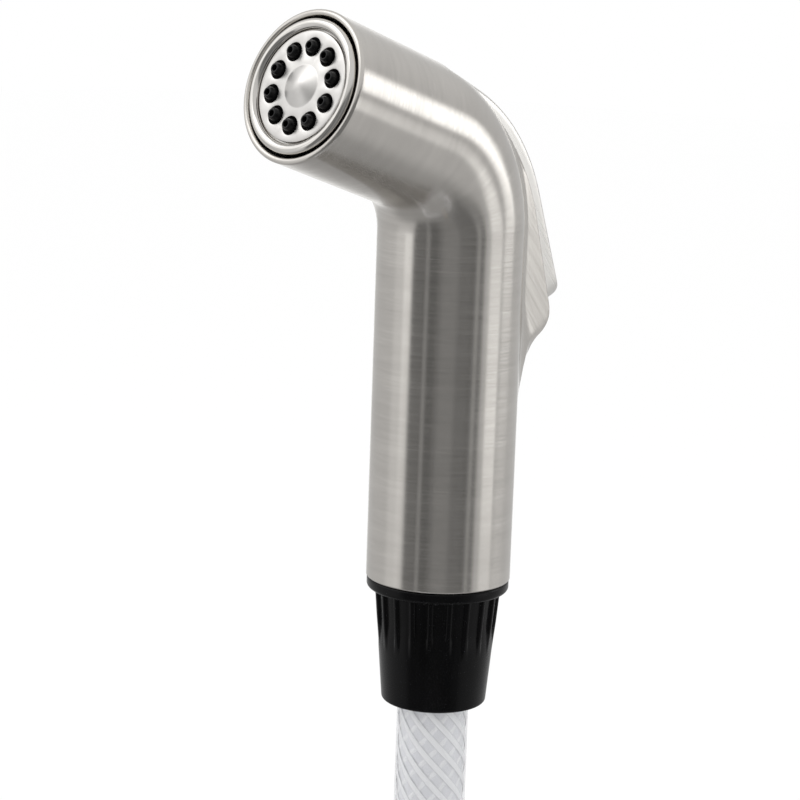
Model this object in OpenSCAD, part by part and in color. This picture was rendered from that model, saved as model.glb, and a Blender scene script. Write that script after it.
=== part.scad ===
// Handheld side spray: bent metal handle, round spray face, thumb lever and valve,
// ribbed hose coupling, and a braided hose wound into a coil with a supply nut at its end.
// The origin is the centre of the collar's underside, +Z runs up the handle, and the
// spray face looks towards -Y.

/* [Handle] */
// Outer diameter of the handle and the head
handle_d = 28; // [26:0.5:32]
// Wall of the metal shell
shell_wall = 1.2; // [1:0.1:1.4]
// Length of the straight handle, from the collar to the bend
handle_len = 67.2; // [60:0.2:90]
// Radius of the bend, on the tube's centre line
bend_r = 20; // [19:0.5:24]
// How far the head points up from level, in degrees
head_tilt = 17.5; // [12:0.5:22]
// Length of the straight head, from the bend to the spray face
head_len = 28; // [26:0.5:36]

/* [Collar and coupling] */
// Thickness of the collar that rests on the holder
collar_t = 2.2; // [1.6:0.1:2.6]
// How far the collar's edge stays inside the shell's outside
collar_step = 0.2; // [0:0.1:0.5]
// Diameter of the neck's thread
neck_d = 16.6; // [15.6:0.2:17.6]
// Length of the neck below the collar
neck_drop = 6; // [5.8:0.1:7]
// Water bore of the neck
neck_bore_d = 7.6; // [7:0.2:8.2]
// Length of the coupling below the collar
coupling_len = 22.5; // [22:0.1:30]
// Diameter of the coupling under the collar
coupling_top_d = 24.5; // [22.8:0.1:24.8]
// Diameter of the coupling at its lower end
coupling_end_d = 20.2; // [19.6:0.1:21.4]
// Number of ribs on the coupling
rib_count = 20; // [16:1:24]
// Width of one rib
rib_w = 1.2; // [0.8:0.1:1.6]
// Length of the ribs
rib_len = 12.5; // [8:0.5:16]
// Depth of the panels between the ribs, at their upper end
rib_depth = 0.4; // [0.2:0.05:0.6]

/* [Spray face] */
// Width of the polished ring round the plate
bezel_w = 1.95; // [1.5:0.05:2.6]
// Thickness of the plate
plate_t = 1.2; // [1:0.1:1.6]
// Number of spray holes
hole_count = 10; // [6:1:11]
// Diameter of one hole
hole_d = 3.4; // [3:0.1:3.6]
// Diameter of the circle of holes
hole_circle_d = 14.2; // [13.4:0.1:15]
// Diameter of the plate's central dome
dome_d = 7.5; // [4:0.1:8]
// Height of the dome
dome_h = 0.9; // [0.4:0.1:1.4]
// Outer diameter of a rubber nozzle
nozzle_d = 2.6; // [1.8:0.1:2.8]
// Diameter of a nozzle's tip
nozzle_tip_d = 1.8; // [1.5:0.1:2.2]
// Bore of a rubber nozzle
nozzle_bore_d = 1; // [0.6:0.1:1.4]

/* [Lever] */
// Width of the thumb lever
lever_w = 14; // [13:0.2:15]
// Thickness of the lever's top
lever_skin = 1.6; // [1.4:0.1:2]
// Thickness of the lever's side walls
lever_side = 1.2; // [1:0.1:1.6]
// Depth of the lever's side walls below its crest
lever_depth = 8; // [7.4:0.1:8.4]
// Depth of the lever's front wall below its crest
lever_front_depth = 4.6; // [4:0.1:5.2]
// Length of the lever's straight front
lever_front_len = 10.9; // [9:0.1:12]
// Slope of the lever's front below level, in degrees
lever_front_slope = 24; // [22:0.5:25]
// Radius of the lever's bend, on its crest
lever_arc_r = 36; // [34:0.5:37]
// Lean of the lever's tip away from the handle, in degrees
lever_lean = 20.8; // [20:0.1:21.4]
// Length of the lever's straight tip
lever_tip_len = 22.3; // [21.8:0.1:23]
// Rounding of the tip's corners
tip_corner_r = 3.5; // [2:0.1:4]
// Rounding of the tip's edge
tip_edge_r = 2.8; // [1.5:0.1:3]
// Turn of the lever when it is pressed home, in degrees
lever_travel = 3.5; // [2:0.1:3.7]
// Diameter of the pivot pin
pin_d = 2; // [1.6:0.1:2.2]

/* [Lever pocket] */
// Wall of the raised pocket beside the lever
pocket_wall = 0.8; // [0.7:0.1:1.4]
// Gap beside the lever
pocket_gap = 0.3; // [0.25:0.05:0.4]
// Lean of the pocket's rim, in degrees
rim_lean = 16.4; // [15:0.1:17.5]
// Length of the rim's straight stretch
rim_straight = 20; // [18:0.5:21]
// Radius of the rim's upper bend
rim_arc_r = 35.6; // [34:0.2:37]
// How far the lever's crest stands above the rim at its tip
rim_drop = 6.6; // [6.2:0.1:6.8]
// Rounding of the pocket's lower end
chin_r = 4.5; // [4:0.1:5]

/* [Valve] */
// How far the valve's axis lies below the bend
valve_drop = 7; // [6:0.1:8]
// Outer diameter of the valve barrel
barrel_d = 13; // [12.6:0.1:13.4]
// Bore of the barrel's outer chamber
chamber_d = 10; // [9.8:0.1:10.4]
// Bore of the barrel's inner chamber
inlet_d = 8.4; // [8.2:0.1:8.8]
// Water bore of the riser
riser_d = 7; // [6.4:0.1:7.2]
// Water bore of the duct to the head
duct_d = 4.4; // [4:0.1:4.6]
// Orifice of the valve seat
orifice_d = 4.8; // [4.4:0.1:5.4]
// Diameter of the push rod
rod_d = 3; // [2.6:0.1:3.2]
// Thickness of the valve washer
valve_washer_t = 1.2; // [1:0.1:1.6]
// Wire diameter of the return spring
spring_wire = 0.7; // [0.5:0.05:0.8]
// Turns of the return spring
spring_turns = 5; // [4:1:6]

/* [Hose] */
// Outer diameter of the braided hose
hose_d = 14; // [13:0.1:14.2]
// Bore of the hose
hose_bore_d = 9.5; // [9:0.1:10]
// Wall of the crimped ferrules
ferrule_wall = 0.6; // [0.4:0.1:0.8]
// Turns of the hose's coil
coil_turns = 2.25; // [2.25:1:4.25]
// Diameter of the coil, measured on the hose's centre line
coil_d = 144; // [144:1:160]
// Rise of the coil in one turn
coil_pitch = 14.4; // [14.2:0.1:16]
// Radius of the supply nut's threaded bore
supply_thread_r = 7.6; // [7.5:0.1:8]
// Length of the supply nut's threaded bore
supply_thread_len = 7.4; // [6:0.2:9]
// Width of the supply nut across its flats
supply_flats = 20.6; // [20.6:0.2:24]

/* [Hidden] */
$fn = 64;

nickel = [0.70, 0.68, 0.65];
polished = [0.82, 0.81, 0.79];
black_plastic = [0.07, 0.07, 0.08];
grey_plastic = [0.55, 0.56, 0.58];
black_rubber = [0.05, 0.05, 0.05];
red_rubber = [0.45, 0.16, 0.12];
brass = [0.80, 0.66, 0.38];
steel = [0.66, 0.67, 0.69];
clear_hose = [0.88, 0.90, 0.92];
white_plastic = [0.85, 0.85, 0.80];

// Clearances
run_gap = 0.05;     // a shaft in its hole
part_gap = 0.3;     // between pieces that stay apart
touch_gap = 0.1;    // between pieces that nearly touch
over = 1;           // how far a cutter runs past a face

// Shell
handle_r = handle_d / 2;
bore_r = handle_r - shell_wall;
bend_z = collar_t + handle_len;
bend_angle = 90 - head_tilt;
bend_lap = 0.1;
bend_step = 0.02;
round_share = cos(10);

// Point in the Y-Z plane at a radius and an angle round the bend's centre
function bend_point(r, a) = [-bend_r + r * cos(a), bend_z + r * sin(a)];
// Unit vector in the Y-Z plane at an angle up from +Y
function dir(a) = [cos(a), sin(a)];
// Points of an arc in the Y-Z plane
function arc(c, r, from, to, steps) =
    [for (i = [0:steps]) c + r * dir(from + (to - from) * i / steps)];

// Lever
lever_half = lever_w / 2;
lever_front_a = 90 - lever_front_slope;
lever_turn = lever_front_a - lever_lean;
lever_start = bend_point(bend_r + handle_r, bend_angle);
lever_knee = lever_start + lever_front_len * dir(-lever_front_slope);
lever_c = lever_knee - lever_arc_r * dir(lever_front_a);
lever_heel = lever_c + lever_arc_r * dir(lever_lean);
lever_end = lever_heel + lever_tip_len * dir(lever_lean - 90);
pin_r = pin_d / 2;
pin_offset = 9.3;
pin_back = 6.5;
pin_a = bend_angle - pin_back;
pin_at = bend_point(bend_r + pin_offset, pin_a);
lug_wall = 1.2;
lug_r = pin_r + lug_wall;
lug_in = 2.6;
lug_t = 2.2;
knuckle_half = lug_in - part_gap;

// Pocket
pocket_half = lever_half + pocket_gap;
saddle_half = pocket_half + pocket_wall;
rim_past = 1;
rim_end = lever_end - rim_drop * dir(lever_lean) - rim_past * dir(rim_lean + 90);
rim_top = rim_end + rim_straight * dir(rim_lean + 90);
rim_c = rim_top - rim_arc_r * dir(rim_lean);
rim_sweep = 48;
chin_c = rim_end - chin_r * dir(rim_lean);
chin_a = -52;
throat_r = 12;
throat_c = chin_c + (chin_r + throat_r) * dir(chin_a);
throat_lean = 10;
throat_end = throat_c + throat_r * dir(180 - throat_lean);
nose_r = 8.5;
nose_drop = 6.8;
nose_z = rim_end[1] - nose_drop;
floor_drop = 4.8;
pocket_floor = lever_end[1] - floor_drop;

// Valve, along Y
valve_h = bend_z - valve_drop;
barrel_r = barrel_d / 2;
barrel_end = sqrt(pow(bore_r - 2 * part_gap, 2) - pow(barrel_r, 2));
chamber_r = chamber_d / 2;
inlet_r = inlet_d / 2;
back_wall = 1.2;
seat_y = 1;
seat_t = 1.6;
seat_r = chamber_r - run_gap;
bonnet_y = 7.2;
bonnet_hex_t = 2;
bonnet_hex_d = 10.4;
bonnet_end = barrel_end + bonnet_hex_t;
rod_r = rod_d / 2;
lever_arm = pin_at[1] - valve_h;
stem_travel = lever_arm * sin(lever_travel);
head_y = bonnet_end + stem_travel + part_gap;
head_t = 1.6;
head_r = 2.5;
head_dome_r = 8;
idle_gap = 0.12;
boss_y = head_y + head_t + idle_gap;
boss_r = 2.2;
poppet_r = 3.5;
poppet_t = 1.4;
poppet_y = seat_y - valve_washer_t - poppet_t;
spring_r = 2.6;
spring_from = -barrel_end + back_wall + touch_gap / 2;
spring_to = poppet_y - touch_gap / 2;
pilot_r = spring_r - spring_wire / 2 - part_gap;
pilot_len = 2;
o_ring_w = 0.9;

// Waterway
neck_r = neck_d / 2;
neck_bore_r = neck_bore_d / 2;
screen_seat = 0.8;
screen_bore_r = neck_bore_r + screen_seat;
screen_bore_h = 5;
screen_t = 1.6;
screen_rings = [1.6, 3.1];
regulator_from = 1.9;
regulator_bore = 1.6;
disc_rise = 4.4;
disc_z = collar_t + disc_rise;
disc_t = 2;
riser_r = riser_d / 2;
riser_wall = 1.5;
riser_y = -3;
joint_h = 5;
joint_wall = 2.4;
joint_r = neck_bore_r + joint_wall;
duct_r = duct_d / 2;
duct_wall = 1.2;
duct_out = duct_r + duct_wall;
duct_y = 4.5;

// Spray head, measured along the head's axis from the bend
cup_depth = 10;
cup_back = head_len - cup_depth;
cup_r = bore_r - 2 * part_gap;
cup_wall = 0.8;
cup_bore = cup_r - cup_wall;
cup_shelf = 1.6;
cup_chamber = cup_bore - cup_shelf;
cup_floor = 1.5;
cup_rim_sunk = 1;
socket_len = 5;
socket_wall = 1.8;
insert_sunk = 3.3;
insert_back = head_len - insert_sunk;
insert_t = 1.4;
nozzle_sunk = 0.4;
nozzle_tip_h = 1.4;
shell_gap = 0.5;
bezel_r = bore_r - shell_gap;
bezel_in = bezel_r - bezel_w;
bezel_bead = (bezel_r - bezel_in) / 2;
bezel_lip = 0.9;
skirt_step = 0.55;
bezel_skirt = bezel_in + skirt_step;
plate_gap = 0.25;
plate_r = bezel_in - plate_gap;
plate_proud = 0.15;
hole_phase = 32.2;

// Coupling and hose end, downwards from the collar's underside
recess_h = 0.6;
recess_r = coupling_top_d / 2 + touch_gap;
nut_top = recess_h - part_gap;
nut_top_r = coupling_top_d / 2;
nut_end_r = coupling_end_d / 2;
hose_r = hose_d / 2;
hose_bore_r = hose_bore_d / 2;
washer_t = 1.5;
stem_top = -neck_drop - washer_t;
stem_r = 6;
stem_bore = 3.5;
washer_step = 0.7;
washer_bore = stem_bore + washer_step;
groove_depth = 0.6;
groove_r = stem_r - groove_depth;
groove_drop = 2;
groove_z = stem_top - groove_drop;
ring_t = 1.1;
shoulder_z = groove_z - 0.05;
shoulder_t = 2;
shoulder_r = stem_r + run_gap * 2;
ferrule_r = hose_r + run_gap + ferrule_wall;
nut_bore = ferrule_r + part_gap;
hose_top = -12.3;
ferrule_len = 8.6;
barb_h = 0.5;
barb_pitch = 2;

// Free hose: points chosen by hand, the last is where the coil starts
run_points = [[0, 0, hose_top], [0, 0, -30], [0, 0, -58], [0, -4, -79],
    [0, -16, -98], [0, -35, -110], [0, -56, -114]];
coil_r = coil_d / 2;
coil_start = run_points[len(run_points) - 1];
coil_c = [coil_r, coil_start[1]];
coil_top = coil_start[2] + hose_r;
coil_end_z = coil_start[2] - coil_turns * coil_pitch;
surface_z = coil_end_z - hose_r;
supply_z = surface_z + supply_flats / 2;
tail_x = 129;
tail_y = coil_c[1] - coil_r;
tail_points = [[coil_c[0], tail_y, coil_end_z], [90, tail_y, coil_end_z + 0.5],
    [107, tail_y, supply_z - 1], [119, tail_y, supply_z], [tail_x, tail_y, supply_z]];
hose_sides = 12;

// Supply end, along its own axis from the hose's end
collar_len = 5.6;
supply_collar_r = 5.3;
supply_flange_r = supply_thread_r - touch_gap;
supply_flange_t = 1.4;
supply_back = 1.2;
supply_shoulder = collar_len - run_gap;
supply_washer_t = 2;
supply_chamber = collar_len + supply_flange_t + supply_washer_t;
supply_mouth = supply_chamber + supply_thread_len;

function unit(v) = v / norm(v);
function tangent(p, i) = unit(p[min(i + 1, len(p) - 1)] - p[max(i - 1, 0)]);
function ring_at(c, t, side, r, n) =
    let (u = unit(side - (side * t) * t), v = cross(t, u))
    [for (k = [0:n - 1]) c + r * cos(360 * k / n) * u + r * sin(360 * k / n) * v];

// Tube of n sides along points; side is a direction square to the points' tangents
module tube_along(points, r, n, side) {
    rings = [for (i = [0:len(points) - 1]) ring_at(points[i], tangent(points, i), side, r, n)];
    last = (len(points) - 1) * n;
    polyhedron(
        points = [for (ring = rings, p = ring) p],
        faces = concat(
            [[for (k = [0:n - 1]) k]],
            [[for (k = [n - 1:-1:0]) last + k]],
            [for (i = [0:len(points) - 2], k = [0:n - 1])
                [i * n + k, (i + 1) * n + k, (i + 1) * n + (k + 1) % n, i * n + (k + 1) % n]]
        )
    );
}

// Frame of the bend: X outwards at angle a, Y along the tube, Z across
module round_bend(a = 0) {
    translate([0, -bend_r, bend_z])
        rotate([90, 0, 90])
            rotate([0, 0, a])
                children();
}

// Frame of the head: Z towards the spray face, X away from the handle's inside corner
module on_head() {
    round_bend(bend_angle)
        translate([bend_r, 0, 0])
            rotate([-90, 0, 0])
                children();
}

// Frame of the valve: Z along +Y
module on_valve() {
    translate([0, 0, valve_h])
        rotate([-90, 0, 0])
            children();
}

// Frame of the lever: X outwards from the arc's centre at angle a
module on_lever(a) {
    translate([0, lever_c[0], lever_c[1]])
        rotate([90, 0, 90])
            rotate([0, 0, a])
                children();
}

// Outline in the Y-Z plane, extruded across
module across(w) {
    rotate([90, 0, 90])
        linear_extrude(height = w, center = true)
            children();
}

module washer_disc(outer, inner, h) {
    difference() {
        cylinder(r = outer, h = h);
        translate([0, 0, -over])
            cylinder(r = inner, h = h + 2 * over);
    }
}

module o_ring(r, w) {
    rotate_extrude()
        translate([r, 0])
            circle(d = w, $fn = 24);
}

// Round rod along the handle, the bend and the head, out from the shell's centre line. The
// straights run a hair into the bend, which is slimmer, so that no surfaces meet at a tangent.
module bent_rod(r, from, head_end, out = 0) {
    translate([0, out, from])
        cylinder(r = r, h = bend_z - from + bend_lap);
    round_bend()
        rotate_extrude(angle = bend_angle)
            translate([bend_r + out, 0])
                circle(r = r - bend_step);
    on_head()
        translate([out, 0, -bend_lap])
            cylinder(r = r, h = head_end + bend_lap);
}

// Raised pocket that the lever sits in
module saddle() {
    taper = throat_end + handle_r * dir(-90 - throat_lean);
    intersection() {
        across(2 * saddle_half)
            polygon(concat(
                arc(rim_c, rim_arc_r, rim_lean + rim_sweep, rim_lean, 12),
                arc(chin_c, chin_r, rim_lean, chin_a, 8),
                arc(throat_c, throat_r, chin_a + 180, 180 - throat_lean, 8),
                [taper, [0, taper[1]], [0, bend_z]]
            ));
        rotate([-90, 0, 0])
            linear_extrude(height = 2 * handle_d)
                nose_plan();
    }
}

// Outline of the pocket seen from the back, round at its lower end
module nose_plan() {
    translate([0, -nose_z])
        circle(r = nose_r);
    translate([-2 * saddle_half, -nose_z - 2 * handle_len])
        square([4 * saddle_half, 2 * handle_len]);
}

// Opening over the lever, through the shell and the pocket
module lever_window() {
    front = lever_start - pocket_gap * dir(-lever_front_slope);
    across(2 * pocket_half)
        polygon([
            [barrel_r, pocket_floor],
            [2 * handle_d, pocket_floor],
            [2 * handle_d, front[1] + handle_d],
            front + handle_d * dir(lever_front_a),
            front - 3 * dir(lever_front_a)
        ]);
}

module body_shell() {
    color(nickel)
        difference() {
            union() {
                bent_rod(handle_r, collar_t, head_len);
                saddle();
            }
            bent_rod(bore_r, collar_t - over, head_len + over);
            lever_window();
        }
}

// Cross-section of the lever, X outwards with 0 at the crest
module lever_section(half, depth) {
    intersection() {
        translate([-handle_r, 0])
            circle(r = handle_r);
        translate([-depth, -half])
            square([depth, 2 * half]);
    }
}

// Plan of the lever's tip, with round corners that cross its sides and end at a small angle
module tip_plan(half, tip_len, r) {
    inner = round_share * r;
    translate([inner - tip_len, -half - over])
        square([tip_len, 2 * (half + over)]);
    translate([-tip_len, inner - half])
        square([tip_len, 2 * (half - inner)]);
    for (s = [-1, 1])
        intersection() {
            translate([inner - tip_len, s * (half - inner)])
                circle(r = r);
            translate([-tip_len, -half - over])
                square([tip_len, 2 * (half + over)]);
        }
}

// The lever's form, lowered by drop and pulled in by inset at both ends
module lever_form(half, depth, drop, inset) {
    crest = lever_arc_r - drop;
    tip = lever_tip_len - inset;
    on_lever(lever_lean)
        rotate_extrude(angle = lever_turn)
            translate([crest - bend_step, 0])
                lever_section(half - bend_step, depth - 2 * bend_step);
    on_lever(lever_front_a)
        translate([crest, -bend_lap, 0])
            rotate([-90, 0, 0])
                linear_extrude(height = lever_front_len - inset + bend_lap)
                    lever_section(half, depth);
    on_lever(lever_lean)
        intersection() {
            translate([crest, bend_lap, 0])
                rotate([90, 0, 0])
                    linear_extrude(height = tip + over)
                        lever_section(half, depth);
            rotate([90, 0, 90])
                linear_extrude(height = lever_arc_r + over)
                    tip_plan(half, tip, tip_corner_r - inset);
        }
}

// Cutter that rounds the tip's outer edge
module tip_edge_cut() {
    on_lever(lever_lean)
        translate([lever_arc_r - round_share * tip_edge_r, round_share * tip_edge_r - lever_tip_len, 0])
            difference() {
                translate([0, -tip_edge_r - over, -lever_w])
                    cube([tip_edge_r + over, tip_edge_r + over, 2 * lever_w]);
                cylinder(r = tip_edge_r, h = 3 * lever_w, center = true);
            }
}

// Cutter that keeps the lever's front wall off the water duct
module front_wall_cut() {
    on_lever(lever_front_a)
        translate([lever_arc_r - 2 * lever_depth, lever_front_len - 2 * lever_side, lever_side - lever_half])
            cube([2 * lever_depth - lever_front_depth, 3 * lever_side, lever_w - 2 * lever_side]);
}

module lever() {
    lug_top = handle_r - pin_offset - 0.8 * lever_skin;
    crest_y = lever_heel[0] + (lever_heel[1] - valve_h) * tan(lever_lean);
    color(nickel)
        difference() {
            union() {
                difference() {
                    lever_form(lever_half, lever_depth, 0, 0);
                    lever_form(lever_half - lever_side, lever_depth + over, lever_skin, lever_side);
                    tip_edge_cut();
                    front_wall_cut();
                }
                for (s = [-1, 1])
                    round_bend(pin_a)
                        translate([bend_r + pin_offset, 0, s * (lug_in + lug_t / 2)])
                            linear_extrude(height = lug_t, center = true) {
                                circle(r = lug_r);
                                translate([0, -lug_r])
                                    square([lug_top, 2 * lug_r]);
                            }
                on_valve()
                    translate([0, 0, boss_y])
                        cylinder(r = boss_r, h = crest_y - lever_skin - boss_y);
            }
            round_bend(pin_a)
                translate([bend_r + pin_offset, 0, 0])
                    cylinder(r = pin_r + run_gap, h = lever_w, center = true);
        }
}

module lever_pin() {
    color(steel)
        round_bend(pin_a)
            translate([bend_r + pin_offset, 0, 0])
                cylinder(r = pin_r, h = 2 * (lug_in + lug_t), center = true);
}

module waterway_body() {
    color(grey_plastic)
        difference() {
            union() {
                translate([0, 0, -neck_drop])
                    cylinder(r = neck_r, h = neck_drop + disc_z);
                translate([0, 0, disc_z])
                    cylinder(r = bore_r - part_gap, h = disc_t);
                translate([0, riser_y / 2, disc_z + disc_t])
                    cylinder(r = joint_r, h = joint_h);
                translate([0, riser_y, disc_z + disc_t])
                    cylinder(r = riser_r + riser_wall, h = valve_h - disc_z - disc_t);
                on_valve()
                    translate([0, 0, -barrel_end])
                        cylinder(r = barrel_r, h = 2 * barrel_end);
                bent_rod(duct_out, valve_h, cup_back - part_gap, duct_y);
                round_bend(pin_a)
                    translate([bend_r + pin_offset, 0, 0])
                        linear_extrude(height = 2 * knuckle_half, center = true) {
                            circle(r = lug_r);
                            translate([duct_y - pin_offset, -lug_r])
                                square([pin_offset - duct_y, 2 * lug_r]);
                        }
            }
            waterway_bores();
        }
}

module waterway_bores() {
    translate([0, 0, -neck_drop - over])
        cylinder(r = screen_bore_r, h = screen_bore_h + over);
    translate([0, 0, -neck_drop])
        cylinder(r = neck_bore_r, h = neck_drop + disc_z + disc_t + joint_h - 1);
    translate([0, riser_y, disc_z + disc_t])
        cylinder(r = riser_r, h = valve_h - disc_z - disc_t);
    on_valve() {
        translate([0, 0, -barrel_end + back_wall])
            cylinder(r = inlet_r, h = barrel_end);
        translate([0, 0, seat_y])
            cylinder(r = chamber_r, h = barrel_end);
    }
    bent_rod(duct_r, valve_h, head_len, duct_y);
    round_bend(pin_a)
        translate([bend_r + pin_offset, 0, 0])
            cylinder(r = pin_r, h = lever_w, center = true);
}

module flange_ring() {
    edge = collar_t / 3;
    outer = handle_r - collar_step;
    color(black_plastic)
        difference() {
            union() {
                rotate_extrude()
                    polygon([
                        [0, 0], [outer - edge, 0], [outer, edge],
                        [outer, collar_t - edge / 2], [outer - edge / 2, collar_t], [0, collar_t]
                    ]);
                cylinder(r = bore_r - part_gap, h = disc_z - part_gap);
            }
            translate([0, 0, -over])
                cylinder(r = neck_r + run_gap, h = disc_z + 2 * over);
            translate([0, 0, -over])
                cylinder(r = recess_r, h = recess_h + over);
        }
}

module valve_stem() {
    color(brass)
        on_valve() {
            translate([0, 0, poppet_y])
                cylinder(r = rod_r, h = head_y - poppet_y + head_t / 2);
            translate([0, 0, poppet_y])
                cylinder(r = poppet_r, h = poppet_t);
            translate([0, 0, poppet_y - pilot_len])
                cylinder(r = pilot_r, h = pilot_len);
            translate([0, 0, head_y])
                intersection() {
                    cylinder(r = head_r, h = head_t);
                    translate([0, 0, head_t - head_dome_r])
                        sphere(r = head_dome_r);
                }
        }
}

module valve_washer() {
    color(black_rubber)
        on_valve()
            translate([0, 0, poppet_y + poppet_t])
                washer_disc(poppet_r - touch_gap, rod_r, valve_washer_t);
}

module valve_spring() {
    steps = 16;
    rise = spring_to - spring_from - spring_wire;
    points = [for (i = [0:spring_turns * steps])
        [spring_r * cos(360 * i / steps), spring_r * sin(360 * i / steps),
            spring_from + spring_wire / 2 + rise * i / (spring_turns * steps)]];
    color(steel)
        on_valve()
            tube_along(points, spring_wire / 2, 8, [0, 0, 1]);
}

module valve_seat() {
    color(brass)
        on_valve()
            translate([0, 0, seat_y])
                difference() {
                    washer_disc(seat_r, orifice_d / 2, seat_t);
                    translate([0, 0, (seat_t - o_ring_w) / 2])
                        washer_disc(seat_r + over, chamber_r - o_ring_w, o_ring_w);
                }
}

module seat_o_ring() {
    color(black_rubber)
        on_valve()
            translate([0, 0, seat_y + seat_t / 2])
                o_ring(chamber_r - o_ring_w / 2, o_ring_w - run_gap);
}

module valve_bonnet() {
    groove_at = (bonnet_y + bonnet_end) / 2;
    color(brass)
        on_valve()
            difference() {
                union() {
                    translate([0, 0, bonnet_y])
                        cylinder(r = seat_r, h = barrel_end - bonnet_y);
                    translate([0, 0, barrel_end])
                        cylinder(d = bonnet_hex_d, h = bonnet_hex_t, $fn = 6);
                }
                translate([0, 0, bonnet_y - over])
                    cylinder(r = rod_r + run_gap, h = bonnet_end - bonnet_y + 2 * over);
                translate([0, 0, groove_at - o_ring_w / 2])
                    cylinder(r = rod_r + o_ring_w, h = o_ring_w);
            }
}

module stem_o_ring() {
    groove_at = (bonnet_y + bonnet_end) / 2;
    color(black_rubber)
        on_valve()
            translate([0, 0, groove_at])
                o_ring(rod_r + run_gap + (o_ring_w - run_gap) / 2, o_ring_w - run_gap - 0.02);
}

module spray_cup() {
    color(black_plastic)
        on_head()
            difference() {
                union() {
                    translate([0, 0, cup_back])
                        cylinder(r = cup_r, h = head_len - cup_rim_sunk - cup_back);
                    translate([duct_y, 0, cup_back - socket_len])
                        cylinder(r = duct_out + socket_wall, h = socket_len);
                }
                translate([0, 0, cup_back + cup_floor])
                    cylinder(r = cup_chamber, h = head_len);
                translate([0, 0, insert_back - o_ring_w])
                    cylinder(r = cup_bore, h = head_len);
                translate([duct_y, 0, cup_back - socket_len - over])
                    cylinder(r = duct_out + run_gap, h = socket_len + over);
                translate([duct_y, 0, cup_back - over])
                    cylinder(r = duct_r, h = head_len);
                translate([duct_y, 0, cup_back - socket_len / 2 - o_ring_w / 2])
                    cylinder(r = duct_out + o_ring_w, h = o_ring_w);
            }
}

module duct_o_ring() {
    color(black_rubber)
        on_head()
            translate([duct_y, 0, cup_back - socket_len / 2])
                o_ring(duct_out + o_ring_w / 2, o_ring_w - run_gap);
}

module face_o_ring() {
    color(black_rubber)
        on_head()
            translate([0, 0, insert_back - o_ring_w / 2])
                o_ring((cup_bore + cup_chamber) / 2, o_ring_w - run_gap);
}

// Copies at each spray hole
module at_holes() {
    for (i = [0:hole_count - 1])
        rotate([0, 0, hole_phase + 360 * i / hole_count])
            translate([hole_circle_d / 2, 0, 0])
                children();
}

module nozzle_insert() {
    color(black_rubber)
        on_head()
            difference() {
                union() {
                    translate([0, 0, insert_back])
                        cylinder(r = bezel_skirt - touch_gap, h = insert_t);
                    translate([0, 0, insert_back])
                        at_holes()
                            cylinder(d = nozzle_d, h = head_len - nozzle_sunk - insert_back, $fn = 32);
                    translate([0, 0, head_len - nozzle_sunk - touch_gap])
                        at_holes()
                            cylinder(d1 = nozzle_d - touch_gap, d2 = nozzle_tip_d, h = nozzle_tip_h + touch_gap, $fn = 32);
                }
                translate([0, 0, insert_back - over])
                    at_holes()
                        cylinder(d = nozzle_bore_d, h = 2 * head_len, $fn = 24);
            }
}

module face_plate() {
    back = insert_back + insert_t;
    top = head_len + plate_proud;
    color(nickel)
        on_head()
            difference() {
                union() {
                    translate([0, 0, back])
                        cylinder(r = plate_r, h = top - back);
                    translate([0, 0, back])
                        cylinder(r = bezel_skirt - touch_gap, h = head_len - bezel_lip - touch_gap - back);
                    translate([0, 0, top])
                        cylinder(d1 = dome_d, d2 = dome_d / 6, h = dome_h);
                }
                translate([0, 0, -over])
                    at_holes()
                        cylinder(d = hole_d, h = 2 * head_len, $fn = 40);
                translate([0, 0, back - over])
                    cylinder(r = (hole_circle_d - hole_d) / 2 - 1, h = over + top - back - plate_t);
            }
}

// Half-round bead on a flat rim, 0 at the shell's edge
module bezel_section() {
    translate([-bezel_bead, -bezel_lip])
        square([2 * bezel_bead, bezel_lip - bezel_bead / 2]);
    translate([0, -bezel_bead / 2])
        intersection() {
            circle(r = bezel_bead, $fn = 32);
            translate([-bezel_bead, 0])
                square([2 * bezel_bead, bezel_bead]);
        }
}

module bezel_ring() {
    color(polished)
        on_head() {
            rotate_extrude()
                translate([(bezel_r + bezel_in) / 2, head_len])
                    bezel_section();
            translate([0, 0, insert_back + touch_gap])
                washer_disc(cup_bore - run_gap, bezel_skirt, head_len - bezel_lip - insert_back - touch_gap);
        }
}

module flow_regulator() {
    color(white_plastic)
        translate([0, 0, regulator_from - neck_drop])
            washer_disc(screen_bore_r - run_gap, regulator_bore, screen_bore_h - regulator_from - run_gap);
}

module inlet_screen() {
    mesh_hole = 0.9;
    color(steel)
        translate([0, 0, -neck_drop + run_gap])
            difference() {
                cylinder(r = screen_bore_r - run_gap, h = screen_t);
                translate([0, 0, -over])
                    for (a = [0:45:315], r = screen_rings)
                        rotate([0, 0, a + 15 * r])
                            translate([r, 0, 0])
                                cylinder(d = mesh_hole, h = screen_t + 2 * over, $fn = 16);
            }
}

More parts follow.
